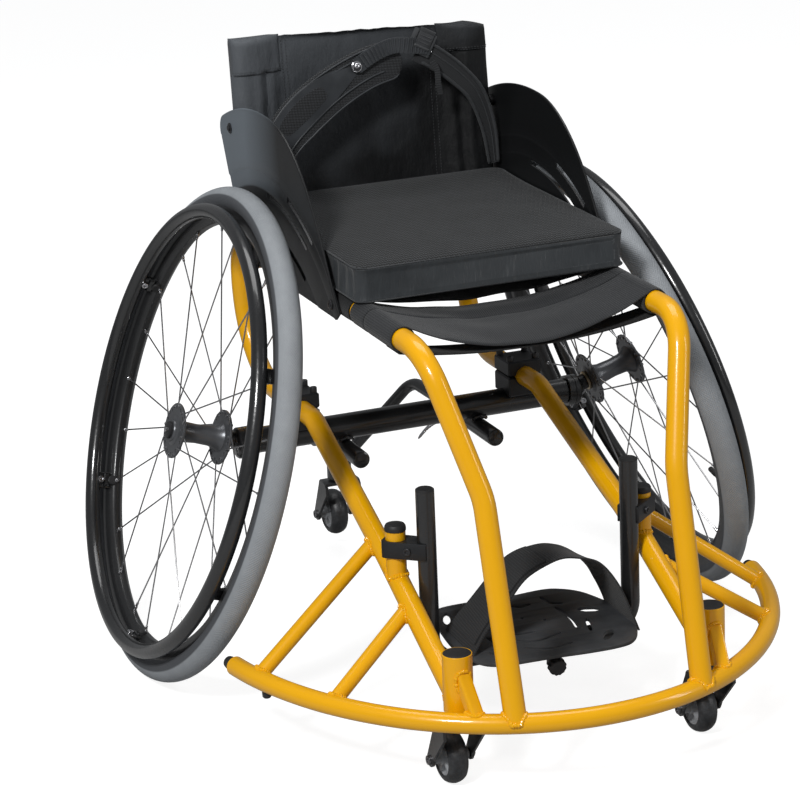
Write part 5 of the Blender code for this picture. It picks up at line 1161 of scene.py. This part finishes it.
rows = []
for i in range(41):
    u = 2 * i / 40 - 1
    drop = RAIL_R + 0.0035 + 0.0145 * (1 - abs(u) ** 2.2)
    rows.append([Vector((u * (RAIL_X + 0.004), y, SEAT_RAIL_Z - drop - low)) for y, low in
                 ((-0.384, 0.0004), (-0.3835, 0), (-0.346, 0), (-0.3455, 0.0004),
                  (-0.346, 0.0016), (-0.3835, 0.0016))])
shape = Shape()
shape.skin(rows)
piece = shape.made("front_band_lining", HEM, sharp=75)

# Cushion
# A foam slab in a zipped cover: air-mesh top, nylon side band with a few gathers, and a corded
# seam round the top and bottom edges.
CUSHION_HALF = 0.168
CUSHION_Y = (-0.286, 0.082)
CUSHION_BASE = 0.5082
CUSHION_HEIGHT = 0.043
SEAM_Z = CUSHION_BASE + CUSHION_HEIGHT - 0.003


def cushion_cloth():
    """Air-mesh knit above the corded seam, smooth wrinkled nylon below it."""
    cloth = Surface("cushion_cloth", "mesh_cloth", specular=0.35, sheen=0.10, sheen_roughness=0.45)
    x, y, z = cloth.parts()
    top = cloth.ramp(z, SEAM_Z - 0.0008, SEAM_Z + 0.0004)
    one = ((x / 0.0062 + y / 0.0150) * 2 * pi).sine()
    two = ((x / 0.0062 - y / 0.0130) * 2 * pi).sine()
    knit = cloth.ramp(one * two + one * 0.5, -0.10, 0.35)
    dust = cloth.grain(0.03, 3.0)
    weave = cloth.grain(0.0007, 2.0)
    mesh = cloth.mix((0.0006, 0.0007, 0.0008), (0.052, 0.058, 0.063), knit * (0.34 + dust * 0.6))
    nylon = cloth.mix((0.024, 0.027, 0.030), (0.046, 0.051, 0.055), dust)
    creases = cloth.grain(0.014, 3.0, 0.55, stretch=(1.0, 1.0, 0.22))
    cloth.feed(colour=cloth.mix(nylon, mesh, top), roughness=0.42 + top * 0.38,
               height=knit * top * 0.00045 + (1 - top) * (creases * 0.0035 + weave * 0.00008))
    return cloth.material


CUSHION_MID = Vector((0, sum(CUSHION_Y) / 2, 0))
CUSHION_DEEP = (CUSHION_Y[1] - CUSHION_Y[0]) / 2
CORNER_R = 0.016


def cushion_ring(inset, z, count=400):
    """The cushion's outline pulled in by a distance, as evenly numbered points at one height."""
    half = CUSHION_HALF - inset, CUSHION_DEEP - inset
    r = max(CORNER_R - inset, 0.001)
    straight = 4 * (CUSHION_HALF + CUSHION_DEEP - 2 * CORNER_R)
    arc = 2 * pi * CORNER_R
    points = []
    for i in range(count):
        goal = (straight + arc) * i / count
        for u, v, turn in ((1, -1, -pi / 2), (1, 1, 0), (-1, 1, pi / 2), (-1, -1, pi)):
            side = 2 * ((CUSHION_DEEP if u * v > 0 else CUSHION_HALF) - CORNER_R)
            start, stop = (half[0] - r, half[1] - r)
            if goal < side:
                t = goal / side
                a = Vector((start * (-v if u * v < 0 else u), stop * (v if u * v < 0 else -u), 0))
                b = Vector((start * u, stop * v, 0))
                out = Vector((cos(turn), sin(turn), 0)) * r
                points.append(a.lerp(b, t) + out)
                break
            goal -= side
            if goal < arc / 4:
                a = turn + goal / CORNER_R
                points.append(Vector((start * u + r * cos(a), stop * v + r * sin(a), 0)))
                break
            goal -= arc / 4
    return [CUSHION_MID + p + Vector((0, 0, z)) for p in points]


def gather(p):
    """How far the side band is drawn in at a place: upright folds, uneven and a little slanted."""
    around = p.x + 1.7 * p.y + 0.25 * (p.z - CUSHION_BASE)
    fold = noise.noise((around * 42, p.z * 5, 3.1)) + 0.6 * noise.noise((around * 95, p.z * 9, 7.7))
    return 0.0022 + 0.0042 * fold


rows = []
TOP_Z = CUSHION_BASE + CUSHION_HEIGHT - 0.0012
for inset, z in ((0.080, 0.0010), (0.040, 0.0004), (0.012, 0.0), (0.0040, 0.0),
                 (0.0012, 0.0006), (0.0, 0.0020)):
    rows.append(cushion_ring(inset, CUSHION_BASE + z))
for j in range(1, 20):
    t = j / 20
    z = CUSHION_BASE + 0.0020 + (CUSHION_HEIGHT - 0.0052) * t
    ring = cushion_ring(0.0, z)
    rows.append([p + (CUSHION_MID + Vector((0, 0, z)) - p).normalized() * max(gather(p), -0.001)
                 * (1 - abs(2 * t - 1) ** 4) for p in ring])
for inset, z in ((0.0, -0.0020), (0.0006, -0.0008), (0.0020, 0.0), (0.0045, 0.0003), (0.010, 0.0008),
                 (0.018, 0.0014), (0.030, 0.0018), (0.045, 0.0020), (0.065, 0.0020), (0.090, 0.0018),
                 (0.120, 0.0016), (0.150, 0.0014)):
    ring = cushion_ring(inset, TOP_Z + z)
    rows.append([p + Vector((0, 0, 0.0016 * noise.noise((p.x * 12, p.y * 12, 1.0)) * min(1, inset / 0.02)))
                 for p in ring])
for row in rows:
    for p in row:
        rear = min(max((p.y + 0.02) / (CUSHION_Y[1] + 0.02), 0), 1)
        p.z += 0.0045 * rear ** 2 * (p.z - CUSHION_BASE) / CUSHION_HEIGHT
shape = Shape()
shape.skin(rows)
cushion = shape.made("seat_cushion", cushion_cloth(), "frame", ["cushion"], sharp=60)
CORD = ribbed_webbing("cushion_cord", 0.0012, (0.016, 0.017, 0.018), (0.075, 0.080, 0.086))
for word, row in (("top", rows[26]), ("bottom", rows[5])):      # the rows on the seams
    shape = Shape()
    shape.tube([p + Vector((0, 0, 0.0002)) for p in row], 0.0009, 8, loop=True)
    shape.made("cushion_cord_" + word, CORD)

# Side guards
# Thermoformed black sheet between wheel and seat, stepped inward in terraces that follow the
# wheel, with a slot under each step; bolted to the rail and held to the cane by a ring pin.
GUARD_X = 0.1766
GUARD_THICK = 0.0025
GUARD_R = {-1: 0.385, 1: 0.377}
GUARD_FRONT_R = {-1: 0.311, 1: 0.305}
GUARD_ANGLES = (radians(65), radians(95), radians(141))
GUARD_BOTTOM = 0.478
GUARD_CORNER = 0.018
STEPS = (0.249, 0.291, 0.313)
STEP_DEPTH = 0.0011
GUARD_SLOTS = ((98, 121), (91, 119), (105, 122))
WHEEL_Z = wheel_centre[-1].z


def guard_edge(angle, side):
    """The guard's outer edge, as a distance from the wheel's centre."""
    t = min(max((angle - GUARD_ANGLES[1]) / (GUARD_ANGLES[2] - GUARD_ANGLES[1]), 0), 1)
    edge = GUARD_R[side] - (GUARD_R[side] - GUARD_FRONT_R[side]) * t * t * (3 - 2 * t)
    past = (angle - GUARD_ANGLES[0]) * GUARD_R[side]
    if past < GUARD_CORNER:
        edge -= GUARD_CORNER - sqrt(GUARD_CORNER ** 2 - (GUARD_CORNER - past) ** 2)
    return edge


def guard_sheet():
    """Satin ABS sheet: fine grain, and a painted sheen over the outer face that fades towards the front."""
    sheet = Surface("guard_sheet", "satin_black_plastic", specular=0.45)
    x, y, z = sheet.parts()
    broad = sheet.grain(0.05, 2.0)
    outer = sheet.ramp(abs(x), GUARD_X - 0.0021, GUARD_X - 0.0010)
    # Painted sheen: the outer face passes to a pale blue-grey towards the rear, as a grazing reflection would
    # look.
    painted_sheen = outer * sheet.ramp(y + broad * 0.02, -0.050, 0.075)
    sheet.feed(colour=sheet.mix((0.0075, 0.0080, 0.0086), (0.155, 0.180, 0.205), painted_sheen),
               roughness=0.32 + broad * 0.12, height=sheet.grain(0.0009, 3.0, 0.6) * 0.00004)
    return sheet.material


GUARD_SKIN = guard_sheet()
corner = GUARD_CORNER / GUARD_R[1]
angles = [GUARD_ANGLES[0] + corner * (1 - cos(pi / 2 * i / 10)) for i in range(10)]
angles += [GUARD_ANGLES[0] + corner + (GUARD_ANGLES[2] - GUARD_ANGLES[0] - corner) * i / 110
           for i in range(111)]
for side, name in SIDES:
    shape = Shape()
    both = {}

    def guard_pair(angle, radius):
        """The outer and inner points of the sheet at one place, made once."""
        inset = sum(STEP_DEPTH * min(max((step + 0.0015 - radius) / 0.003, 0), 1) for step in STEPS)
        y, z = radius * cos(angle), WHEEL_Z + radius * sin(angle)
        key = round(y, 5), round(z, 5)
        if key not in both:
            both[key] = [shape.mesh.verts.new((side * (GUARD_X - inset - deep), y, z))
                         for deep in (0, GUARD_THICK)]
        return key

    grid = []
    for angle in angles:
        bottom = (GUARD_BOTTOM - WHEEL_Z) / sin(angle)
        outer = guard_edge(angle, side)
        radii = [bottom]
        for step in STEPS:
            radii += [step - 0.0108, step - 0.0098, step - 0.0090, step - 0.0024, step - 0.0015, step,
                      step + 0.0015]
        radii += [STEPS[-1] + 0.0015 + (outer - STEPS[-1] - 0.0015) * i / 6 for i in range(1, 7)]
        radii = [min(max(radius, bottom), outer) for radius in radii]
        grid.append([(radius, guard_pair(angle, radius)) for radius in radii])
    cells = []
    for j, (near, far) in enumerate(zip(grid, grid[1:])):
        turn = (angles[j] + angles[j + 1]) / 2
        for i in range(len(near) - 1):
            radius = (near[i][0] + near[i + 1][0]) / 2
            opened = any(step - 0.0103 < radius < step - 0.0020 and radians(first) < turn < radians(last)
                         for step, (first, last) in zip(STEPS, GUARD_SLOTS))
            cell = list(dict.fromkeys(key for radius, key in (near[i], near[i + 1], far[i + 1], far[i])))
            if len(cell) > 2 and not opened:
                cells.append(cell)
    uses = Counter(frozenset(edge) for cell in cells for edge in zip(cell, cell[1:] + cell[:1]))
    for cell in cells:
        shape.mesh.faces.new([both[key][0] for key in cell])
        shape.mesh.faces.new([both[key][1] for key in cell[::-1]])
        for a, b in zip(cell, cell[1:] + cell[:1]):
            if uses[frozenset((a, b))] == 1:
                shape.mesh.faces.new((both[b][0], both[a][0], both[a][1], both[b][1]))
    rolled = []
    for a in angles:
        r = guard_edge(a, side) - 0.0011
        rolled.append((side * (GUARD_X - GUARD_THICK / 2), r * cos(a), WHEEL_Z + r * sin(a)))
    shape.tube(rolled, 0.0016, 10)
    shape.made("splash_guard_" + name, GUARD_SKIN, "frame", ["side_guard_" + name], sharp=25)
    bolts = Shape()
    for y, z in ((-0.214, 0.4925), (0.072, 0.4925), (0.1173, 0.633 if side > 0 else 0.638)):
        radius = sqrt(y ** 2 + (z - WHEEL_Z) ** 2)
        inset = sum(STEP_DEPTH for step in STEPS if radius < step)
        face_x = GUARD_X - inset
        inner = RAIL_X + RAIL_R + 0.0003 + (0.0025 if z > 0.55 else 0)
        out = crossways((side, 0, 0), (side * face_x, y, z))
        bolts.turn([(0.0075, inner - face_x), (0.0075, -GUARD_THICK)], out, 32)
        if z < 0.55:
            bolts.turn([(0.0058, 0), (0.0062, 0.0004), (0.0060, 0.0012), (0.0048, 0.0020), (0.0026, 0.0023),
                        (0.0024, 0.0012), (0.0001, 0.0010)], out, 28)
        else:
            bolts.turn([(0.0062, 0), (0.0066, 0.0004), (0.0066, 0.0012), (0.0060, 0.0016), (0.0044, 0.0016),
                        (0.0040, 0.0012), (0.0034, 0.0012), (0.0034, 0.0030), (0.0028, 0.0036),
                        (0.0001, 0.0038)], out, 28)
    bolts.made("guard_bolts_" + name, BOLT_BLACK)

# Back canes
# Black tubes that stand in the yellow sockets and lean back five degrees.
CANE_R = 0.0127
CANE_TOP = 0.7300
for side, name in SIDES:
    lean = Vector((0, sin(CANE_LEAN), cos(CANE_LEAN)))
    crossing = Vector((side * RAIL_X, CANE_Y, SEAT_RAIL_Z))
    shape = Shape()
    runs = [(0.470, CANE_R - 0.0005), (0.4705, CANE_R), (CANE_TOP - 0.002, CANE_R),
            (CANE_TOP - 0.0006, CANE_R - 0.001),
            (CANE_TOP, CANE_R - 0.003)]
    shape.tube([crossing + lean * ((z - SEAT_RAIL_Z) / cos(CANE_LEAN)) for z, r in runs],
               [r for z, r in runs], 36)
    shape.made("cane_" + name, FORK_PAINT, "frame", ["back_cane_" + name])

# Back canvas
# Coated nylon pulled down over the canes like a sack, closed at the top. Patches are sewn over
# the top corners, a seam runs down beside each cane, and the cloth gathers at both.
CANVAS_LOW, CANVAS_HIGH = 0.530, 0.7465
CANVAS_R = 0.0152
CANVAS_SEAM_X = 0.098
CANVAS_SAG = 0.012


def coated_nylon():
    """Oxford nylon with a dull coating: fine basket weave, soft creases, and painted light that makes the
    upper left paler.
    """
    cloth = Surface("coated_nylon", "black_cloth", specular=0.22, sheen=0.04, sheen_roughness=0.4)
    x, y, z = cloth.parts()
    basket = (x * (2 * pi / 0.0011)).sine() * (z * (2 * pi / 0.0011)).sine()
    crease = cloth.grain(0.030, 4.0, 0.6, stretch=(1.5, 1.0, 0.6))
    fine = cloth.grain(0.006, 4.0, 0.65)
    lint = cloth.ramp(cloth.grain(0.0010, 1.0), 0.74, 0.82)
    # Painted light: the cloth is paler towards the upper left, in broad uneven patches, as if lit there; the
    # creases' rise also pales it a little.
    painted_light = cloth.ramp(z * 0.9 - x + cloth.grain(0.075, 1.5) * 0.26, 0.62, 0.98)
    colour = cloth.mix((0.0050, 0.0053, 0.0058), (0.125, 0.136, 0.150), painted_light * 0.88 + crease * 0.03)
    cloth.feed(colour=cloth.mix(colour, (0.10, 0.105, 0.11), lint * 0.25), roughness=0.44 + fine * 0.18,
               height=basket * 0.00007 + crease * 0.0030 + fine * 0.0005)
    return cloth.material


NYLON_CLOTH = coated_nylon()


def canvas_point(x, z, front=True, out=0.0):
    """A point of the canvas's front or back face, across and up, a little out from it if asked."""
    ax = min(abs(x), RAIL_X + CANVAS_R)
    sag = CANVAS_SAG * (1 - (min(ax, 0.14) / 0.14) ** 2)
    panel = sag + (-0.0035 if front else 0.0035)
    if ax > RAIL_X:
        around = sqrt(max(CANVAS_R ** 2 - (ax - RAIL_X) ** 2, 0))
        depth = -around if front else around
    else:
        t = min(max((RAIL_X - ax) / (RAIL_X - CANVAS_SEAM_X), 0), 1)
        t = t * t * (3 - 2 * t)
        depth = (-CANVAS_R if front else CANVAS_R) * (1 - t) + panel * t
    low = (z - CANVAS_LOW) / (CANVAS_HIGH - CANVAS_LOW)
    closing = min(1.0, max(0.0, (low - 0.965) / 0.035))
    depth *= 1 - 0.72 * closing ** 2
    if front:
        fold = 0.0030 * (sin(ax * 300 + 1.3 * low) * max(0, 1 - abs(ax - 0.128) / 0.028)) * (low < 0.80)
        pucker = 0.0011 * noise.noise((x * 60, z * 36, 2.0)) * (ax > 0.085)
        broad = 0.0030 * noise.noise((x * 9, z * 7, 5.0)) * min(1, 4 * (1 - ax / 0.172))
        pinch = -0.0014 * max(0, 1 - abs(ax - CANVAS_SEAM_X) / 0.004)
        depth += (fold + pucker + broad - pinch) * (1 - closing) - out
    else:
        depth += 0.0016 * noise.noise((x * 14, z * 12, 9.0)) * (1 - closing) + out
    drop = (0.0045 + 0.0065 * x / RAIL_X + 0.0050 * max(0, (x - 0.14) / 0.03)
            + 0.0020 * noise.noise((x * 28, 0, 2.5)))
    z -= max(0, drop) * max(0, low - 0.80) / 0.20
    up = (z - SEAT_RAIL_Z) / cos(CANE_LEAN)
    return Vector((x, CANE_Y + up * sin(CANE_LEAN) + depth * cos(CANE_LEAN), z - depth * sin(CANE_LEAN)))


rows = []
for j in range(61):
    t = j / 60
    z = CANVAS_LOW + (CANVAS_HIGH - CANVAS_LOW) * t
    edge = RAIL_X + CANVAS_R
    front = [-edge * cos(pi * i / 90) for i in range(91)]
    row = [canvas_point(x, z) for x in front] + [canvas_point(x, z, False) for x in front[-2:0:-1]]
    if j == 60:
        row = [p + Vector((0, 0, 0.0011 * noise.noise((p.x * 90, 0, 0)) - 0.0012)) for p in row]
    rows.append(row)
shape = Shape()
top = shape.skin(rows, True, False)[-1]
for i in range(90):
    shape.mesh.faces.new(list(dict.fromkeys((top[i], top[i + 1], top[179 - i], top[-i]))))
bmesh.ops.recalc_face_normals(shape.mesh, faces=shape.mesh.faces)
if sum(face.normal.y * face.calc_center_median().y for face in shape.mesh.faces) < 0:
    bmesh.ops.reverse_faces(shape.mesh, faces=shape.mesh.faces)
bmesh.ops.solidify(shape.mesh, geom=list(shape.mesh.faces), thickness=0.0006)
canvas = shape.made("back_canvas_cover", NYLON_CLOTH, "frame", ["back_canvas"], sharp=40)


def stitches(name, path, length=0.0026, gap=0.0013, thick=0.00032):
    """A row of thread, each stitch a small capsule lying along the line."""
    shape = Shape()
    along, due = 0.0, 0.0
    for a, b in zip(path, path[1:]):
        run = (b - a).length
        while due < along + run:
            at = a.lerp(b, (due - along) / run)
            way = (b - a).normalized()
            shape.tube([at, at + way * length * 0.15, at + way * length * 0.85, at + way * length],
                       [thick * 0.4, thick, thick, thick * 0.4], 6)
            due += length + gap
        along += run
    shape.made(name, THREAD, sharp=80)


THREAD = moulded("black_thread", "black_cloth", (0.050, 0.052, 0.056), 0.55)
PATCH_X, PATCH_Z = (0.104, 0.1706), (0.7005, 0.7475)
for side, name in SIDES:
    rows = []
    for j in range(15):
        z = PATCH_Z[0] + (PATCH_Z[1] - PATCH_Z[0]) * j / 14
        out = 0.0006 + 0.0009 * (0 < j < 14)
        rows.append([canvas_point(side * (PATCH_X[0] + (PATCH_X[1] - PATCH_X[0]) * i / 24), z, True,
                                  out * (0 < i)) for i in range(25)])
    shape = Shape()
    shape.skin(rows, False)
    patch = shape.made("corner_patch_" + name, NYLON_CLOTH, sharp=80)
    thick = patch.modifiers.new("cloth", "SOLIDIFY")
    thick.thickness = 0.0012
    for number, z in enumerate((0.7022, 0.7052)):
        stitches("patch_stitches_%s_%d" % (name, number),
                 [canvas_point(side * (0.105 + 0.064 * i / 30), z, True, 0.0017) for i in range(31)])
    for number, x in enumerate((CANVAS_SEAM_X + 0.0030, CANVAS_SEAM_X - 0.0032)):
        stitches("canvas_stitches_%s_%d" % (name, number),
                 [canvas_point(side * x, 0.740 - 0.205 * i / 60, True, 0.0005) for i in range(61)])

# Lap belt
# A shaped foam pad on the left with a moulded frame, a riveted ladder strap and a ratchet buckle;
# a narrower corded strap comes up from the right. It stands in an arch before the back.
BELT_Y = 0.082
PAD_LINE = ((-0.147, 0.560), (-0.136, 0.597), (-0.107, 0.638), (-0.060, 0.674), (-0.008, 0.699),
            (0.040, 0.709))
STRAP_LINE = ((0.084, 0.703), (0.114, 0.679), (0.139, 0.650), (0.154, 0.607), (0.160, 0.560))
BUCKLE_AT = Vector((0.068, BELT_Y, 0.724))
BUCKLE_TURN = radians(28)
pad_path = flowing([(x, BELT_Y, z) for x, z in PAD_LINE], 16)
pad_length = [0.0]
for a, b in zip(pad_path, pad_path[1:]):
    pad_length.append(pad_length[-1] + (b - a).length)


def pad_point(t, w, out):
    """A point on the pad: share of its length, metres across from its line, metres out towards -Y."""
    goal = t * pad_length[-1]
    i = max(j for j in range(len(pad_path) - 1) if pad_length[j] <= goal + 1e-9)
    share = (goal - pad_length[i]) / (pad_length[i + 1] - pad_length[i])
    way = (pad_path[min(i + 2, len(pad_path) - 1)] - pad_path[max(i - 1, 0)]).normalized()
    up = Vector((-way.z, 0, way.x))
    return pad_path[i].lerp(pad_path[i + 1], share) + up * w + Vector((0, -out, 0))


def pad_half(t):
    """Half the pad's width along it."""
    grow = 0.018 + 0.012 * min(1, t * 2.6)
    narrow = 0.005 * max(0, 2 * t - 1)
    tip = sqrt(max(0, 1 - max(0, (t - 0.93) / 0.07) ** 2))
    return (grow - narrow) * max(tip, 0.04)


PAD_MESH = Surface("pad_mesh", "mesh_cloth", specular=0.3, sheen=0.1)
x, y, z = PAD_MESH.parts()
cells = ((x * 0.8 + z * 0.6) * (2 * pi / 0.0028)).sine() * ((x * 0.6 - z * 0.8) * (2 * pi / 0.0028)).sine()
cells = PAD_MESH.ramp(cells, -0.2, 0.4)
PAD_MESH = PAD_MESH.feed(colour=PAD_MESH.mix((0.008, 0.0085, 0.009), (0.058, 0.061, 0.066), cells),
                         roughness=0.70 + cells * 0.1, height=cells * 0.00035)
PAD_EDGE = moulded("pad_frame", "satin_black_plastic", (0.034, 0.037, 0.041), 0.36)
rows = []
for j in range(73):
    t = j / 72
    half = pad_half(t)
    row = []
    for i in range(28):
        a = 2 * pi * i / 28
        u = cos(a)
        flat = abs(sin(a)) ** 0.6 * (1 if sin(a) >= 0 else -1)
        row.append(pad_point(min(t, 0.999), half * (abs(u) ** 0.8) * (1 if u >= 0 else -1), 0.0034 * flat))
    rows.append(row)
shape = Shape()
shape.skin(rows)
pad = shape.made("belt_pad", PAD_MESH, "frame", ["lap_pad_left"], sharp=80)


def pad_plate(name, t0, t1, centre, half, low, high, surface):
    """Something sewn or moulded on the pad: its middle and half width are functions of the length."""
    rows = []
    for j in range(41):
        t = t0 + (t1 - t0) * j / 40
        middle, wide = centre(t), max(half(t), 0.0003)
        rise = (high - low) * min(1, 6 * min(j, 40 - j) / 40)
        rows.append([pad_point(t, middle + wide * u, low + rise * v) for u, v in
                     ((-1, 0), (-0.94, 0.8), (-0.6, 1), (0, 1), (0.6, 1), (0.94, 0.8), (1, 0))])
    shape = Shape()
    shape.skin(rows)
    shape.made(name, surface, sharp=40)


def leaf_half(t):
    s = (t - 0.16) / 0.60
    return 0.0235 * max(0.0, sin(pi * min(max(s * 0.86 + 0.10, 0), 1))) ** 0.75


pad_plate("belt_leaf", 0.16, 0.80, lambda t: 0.003 + 0.004 * t, leaf_half, 0.0026, 0.0050, PAD_EDGE)
pad_plate("belt_leaf_mesh", 0.26, 0.61, lambda t: 0.0065,
          lambda t: 0.0135 * sqrt(max(0, 1 - ((t - 0.435) / 0.175) ** 2)),
          0.0040, 0.0058, PAD_MESH)
for number, (w0, w1, t0, t1) in enumerate(((0.90, 0.86, 0.05, 0.93), (0.70, 0.60, 0.10, 0.88),
                                           (-0.62, -0.40, 0.12, 0.90), (-0.93, -0.90, 0.02, 0.97))):
    cord, seam = [], []
    for i in range(61):
        t = t0 + (t1 - t0) * i / 60
        off = pad_half(t) * (w0 + (w1 - w0) * i / 60)
        cord.append(pad_point(t, off, 0.0030 + 0.0006 * (number in (1, 2))))
        seam.append(pad_point(t, off + (-0.0026 if w0 > 0 else 0.0026), 0.0035))
    shape = Shape()
    shape.tube(cord, [0.0004] + [0.0013] * 59 + [0.0004], 8)
    shape.made("belt_piping_%d" % number, PAD_EDGE, sharp=80)
    stitches("belt_stitches_%d" % number, seam, 0.0022, 0.0012, 0.00026)

rivet = pad_point(0.765, 0.0105, 0)
ladder_path = flowing([rivet + Vector((0, -0.0062, 0)), pad_point(0.86, 0.016, 0.0075),
                       pad_point(0.96, 0.019, 0.0080), BUCKLE_AT + Vector((-0.010, -0.0040, -0.002)),
                       BUCKLE_AT + Vector((0.010, -0.0035, -0.006))], 16)
shape = Shape()
shape.tube(ladder_path, 1.0, section=[(v, u) for u, v in strip(0.020, 0.0022, 4)])
for i in range(6, len(ladder_path) - 3, 3):
    way = (ladder_path[i + 1] - ladder_path[i - 1]).normalized()
    up = way.cross(Vector((0, 1, 0))).normalized()
    rung = ladder_path[i] + Vector((0, -0.0014, 0))
    shape.tube([rung - up * 0.0088, rung + up * 0.0088], 0.0011, 8)
shape.made("ladder_strap", PAD_EDGE)
shape = Shape()
out = crossways((0, -1, 0), rivet + Vector((0, -0.0075, 0)))
shape.turn([(0.0072, -0.002), (0.0074, 0.0004), (0.0066, 0.0010), (0.0058, 0.0006), (0.0050, 0.0008),
            (0.0044, 0.0022),
            (0.0030, 0.0033), (0.0012, 0.0038), (0.0001, 0.0039)], out, 36)
shape.made("belt_rivet", STEEL)

BUCKLE = Matrix.Translation(BUCKLE_AT) @ Matrix.Rotation(BUCKLE_TURN, 4, "Y")
a, b, c = 0.015, 0.0045, 0.015        # half the buckle's width, depth and height
shape = Shape()
shape.block((-a, -b, -c), (-a + 0.0040, b, c), BUCKLE, 0.0012)
shape.block((a - 0.0040, -b, -c), (a, b, c), BUCKLE, 0.0012)
shape.block((-a + 0.003, b - 0.0035, -c), (a - 0.003, b, c - 0.002), BUCKLE, 0.0010)
shape.block((-a + 0.003, -b + 0.0004, -c), (a - 0.003, b, -c + 0.0050), BUCKLE, 0.0012)
shape.made("buckle_body", SATIN_MOULD, "frame", ["ratchet_buckle"])
shape = Shape()
pivot = BUCKLE @ Matrix.Translation((0, -b + 0.001, -c + 0.0095))
shape.block((-a + 0.0046, -0.0026, 0.0005), (a - 0.0046, 0.0016, 0.0225), pivot, 0.0012)
shape.block((-a + 0.0046, -0.0029, 0.0185), (a - 0.0046, 0.0020, 0.0240), pivot, 0.0010)
for i in range(3):
    shape.block((-a + 0.0070, -0.0033, 0.0050 + 0.0042 * i), (a - 0.0070, -0.0020, 0.0066 + 0.0042 * i),
                pivot, 0.0005)
shape.turn(both_ways([(0.0001, -a + 0.0046), (0.0026, -a + 0.0046), (0.0031, -a + 0.0052)]),
           pivot @ crossways((1, 0, 0)), 28)
shape.made("buckle_lever", SATIN_MOULD, "ratchet_lever", ["ratchet_lever"])
shape = Shape()
for way in (-1, 1):
    shape.turn([(0.0028, 0), (0.0030, 0.0003), (0.0026, 0.0010), (0.0012, 0.0013), (0.0001, 0.0013)],
               BUCKLE @ crossways((way, 0, 0), (way * a, -b + 0.0035, -c + 0.0095)), 24)
shape.made("buckle_pin", STEEL)

strap_path = flowing([(0.062, BELT_Y + 0.001, 0.716)] + [(x, BELT_Y, z) for x, z in STRAP_LINE], 12)
rows = []
for i, point in enumerate(strap_path):
    way = (strap_path[min(i + 1, len(strap_path) - 1)] - strap_path[max(i - 1, 0)]).normalized()
    wide = 0.030 - 0.016 * (i / (len(strap_path) - 1)) ** 2
    rows.append([point + Vector((-way.z, 0, way.x)) * u + Vector((0, -v, 0))
                 for u, v in strip(wide, 0.0028, 8)])
shape = Shape()
shape.skin(rows)
strap = shape.made("belt_strap", ribbed_webbing("belt_webbing", 0.0018), "frame", ["lap_strap_right"],
                   sharp=70)
for number, (w, r) in enumerate(((0.0135, 0.0022), (-0.0125, 0.0022), (0.004, 0.0009))):
    line = []
    for i, point in enumerate(strap_path[6:], 6):
        way = (strap_path[min(i + 1, len(strap_path) - 1)] - strap_path[i - 1]).normalized()
        narrow = 1 - 0.53 * (i / (len(strap_path) - 1)) ** 2
        line.append(point + Vector((-way.z, 0, way.x)) * w * narrow + Vector((0, -0.0014, 0)))
    shape = Shape()
    shape.tube(line, [r * 0.5] + [r * (1 + 0.10 * sin(i * 2.2)) for i in range(len(line) - 2)] + [r * 0.5],
               10)
    shape.made("belt_cord_%d" % number, CORD, sharp=80)
tail = flowing([(0.079, BELT_Y - 0.006, 0.700), (0.084, BELT_Y - 0.008, 0.690),
                (0.085, BELT_Y - 0.009, 0.672),
                (0.0875, BELT_Y - 0.008, 0.658)], 8)
shape = Shape()
shape.tube(tail, 1.0, section=[(v, u) for u, v in strip(0.007, 0.0014, 4)])
shape.made("belt_tail", WEBBING, sharp=70)

# Room
# A pale seamless floor, a soft lamp high on the photographer's left, a weaker upright one on the
# right, a broad one overhead, and an even pale surround that polished parts can mirror.


def lamp(name, at, size, power):
    data = bpy.data.lights.new(name, "AREA")
    data.shape, data.size, data.size_y = "RECTANGLE", size[0], size[1]
    data.energy = power
    thing = bpy.data.objects.new(name, data)
    bpy.context.scene.collection.objects.link(thing)
    thing.location = at
    thing.rotation_mode = "QUATERNION"
    thing.rotation_quaternion = (Vector((0, 0, 0.4)) - Vector(at)).to_track_quat("-Z", "Y")


lamp("key", (-2.5, -2.4, 3.1), (0.7, 0.7), 126)
lamp("fill", (2.6, -2.2, 1.6), (0.45, 1.6), 17)
lamp("top", (0.2, 0.6, 3.2), (2.2, 1.4), 30)

world = bpy.data.worlds.new("surround")
bpy.context.scene.world = world
world.use_nodes = True
world.node_tree.nodes.clear()
sky = Nodes(world.node_tree)
seen = sky.node("LightPath", {"out": 0})
lit = sky.node("Background", None, (0.95, 0.97, 1.0, 1), 0.20)
white = sky.node("Background", None, (1, 1, 1, 1), 1.0)
sky.tree.links.new(sky.node("MixShader", None, seen, lit, white).out,
                   sky.tree.nodes.new("ShaderNodeOutputWorld").inputs[0])

mesh = bpy.data.meshes.new("floor")
mesh.from_pydata([(-30, -30, 0), (30, -30, 0), (30, 30, 0), (-30, 30, 0)], [], [(0, 1, 2, 3)])
floor = bpy.data.objects.new("floor", mesh)
bpy.context.scene.collection.objects.link(floor)
ground = bpy.data.materials.new("pale_floor")
ground.use_nodes = True
paper = Nodes(ground.node_tree)
shader = ground.node_tree.nodes["Principled BSDF"]
shader.inputs["Base Color"].default_value = (0.42, 0.42, 0.42, 1)
shader.inputs["Roughness"].default_value = 0.9
shader.inputs["Specular IOR Level"].default_value = 0.1
shader.inputs["Emission Color"].default_value = (1, 1, 1, 1)
paper.tree.links.new((paper.node("LightPath", {"out": 0}) * 0.86).out, shader.inputs["Emission Strength"])
mesh.materials.append(ground)

bpy.context.scene.view_settings.view_transform = "Standard"
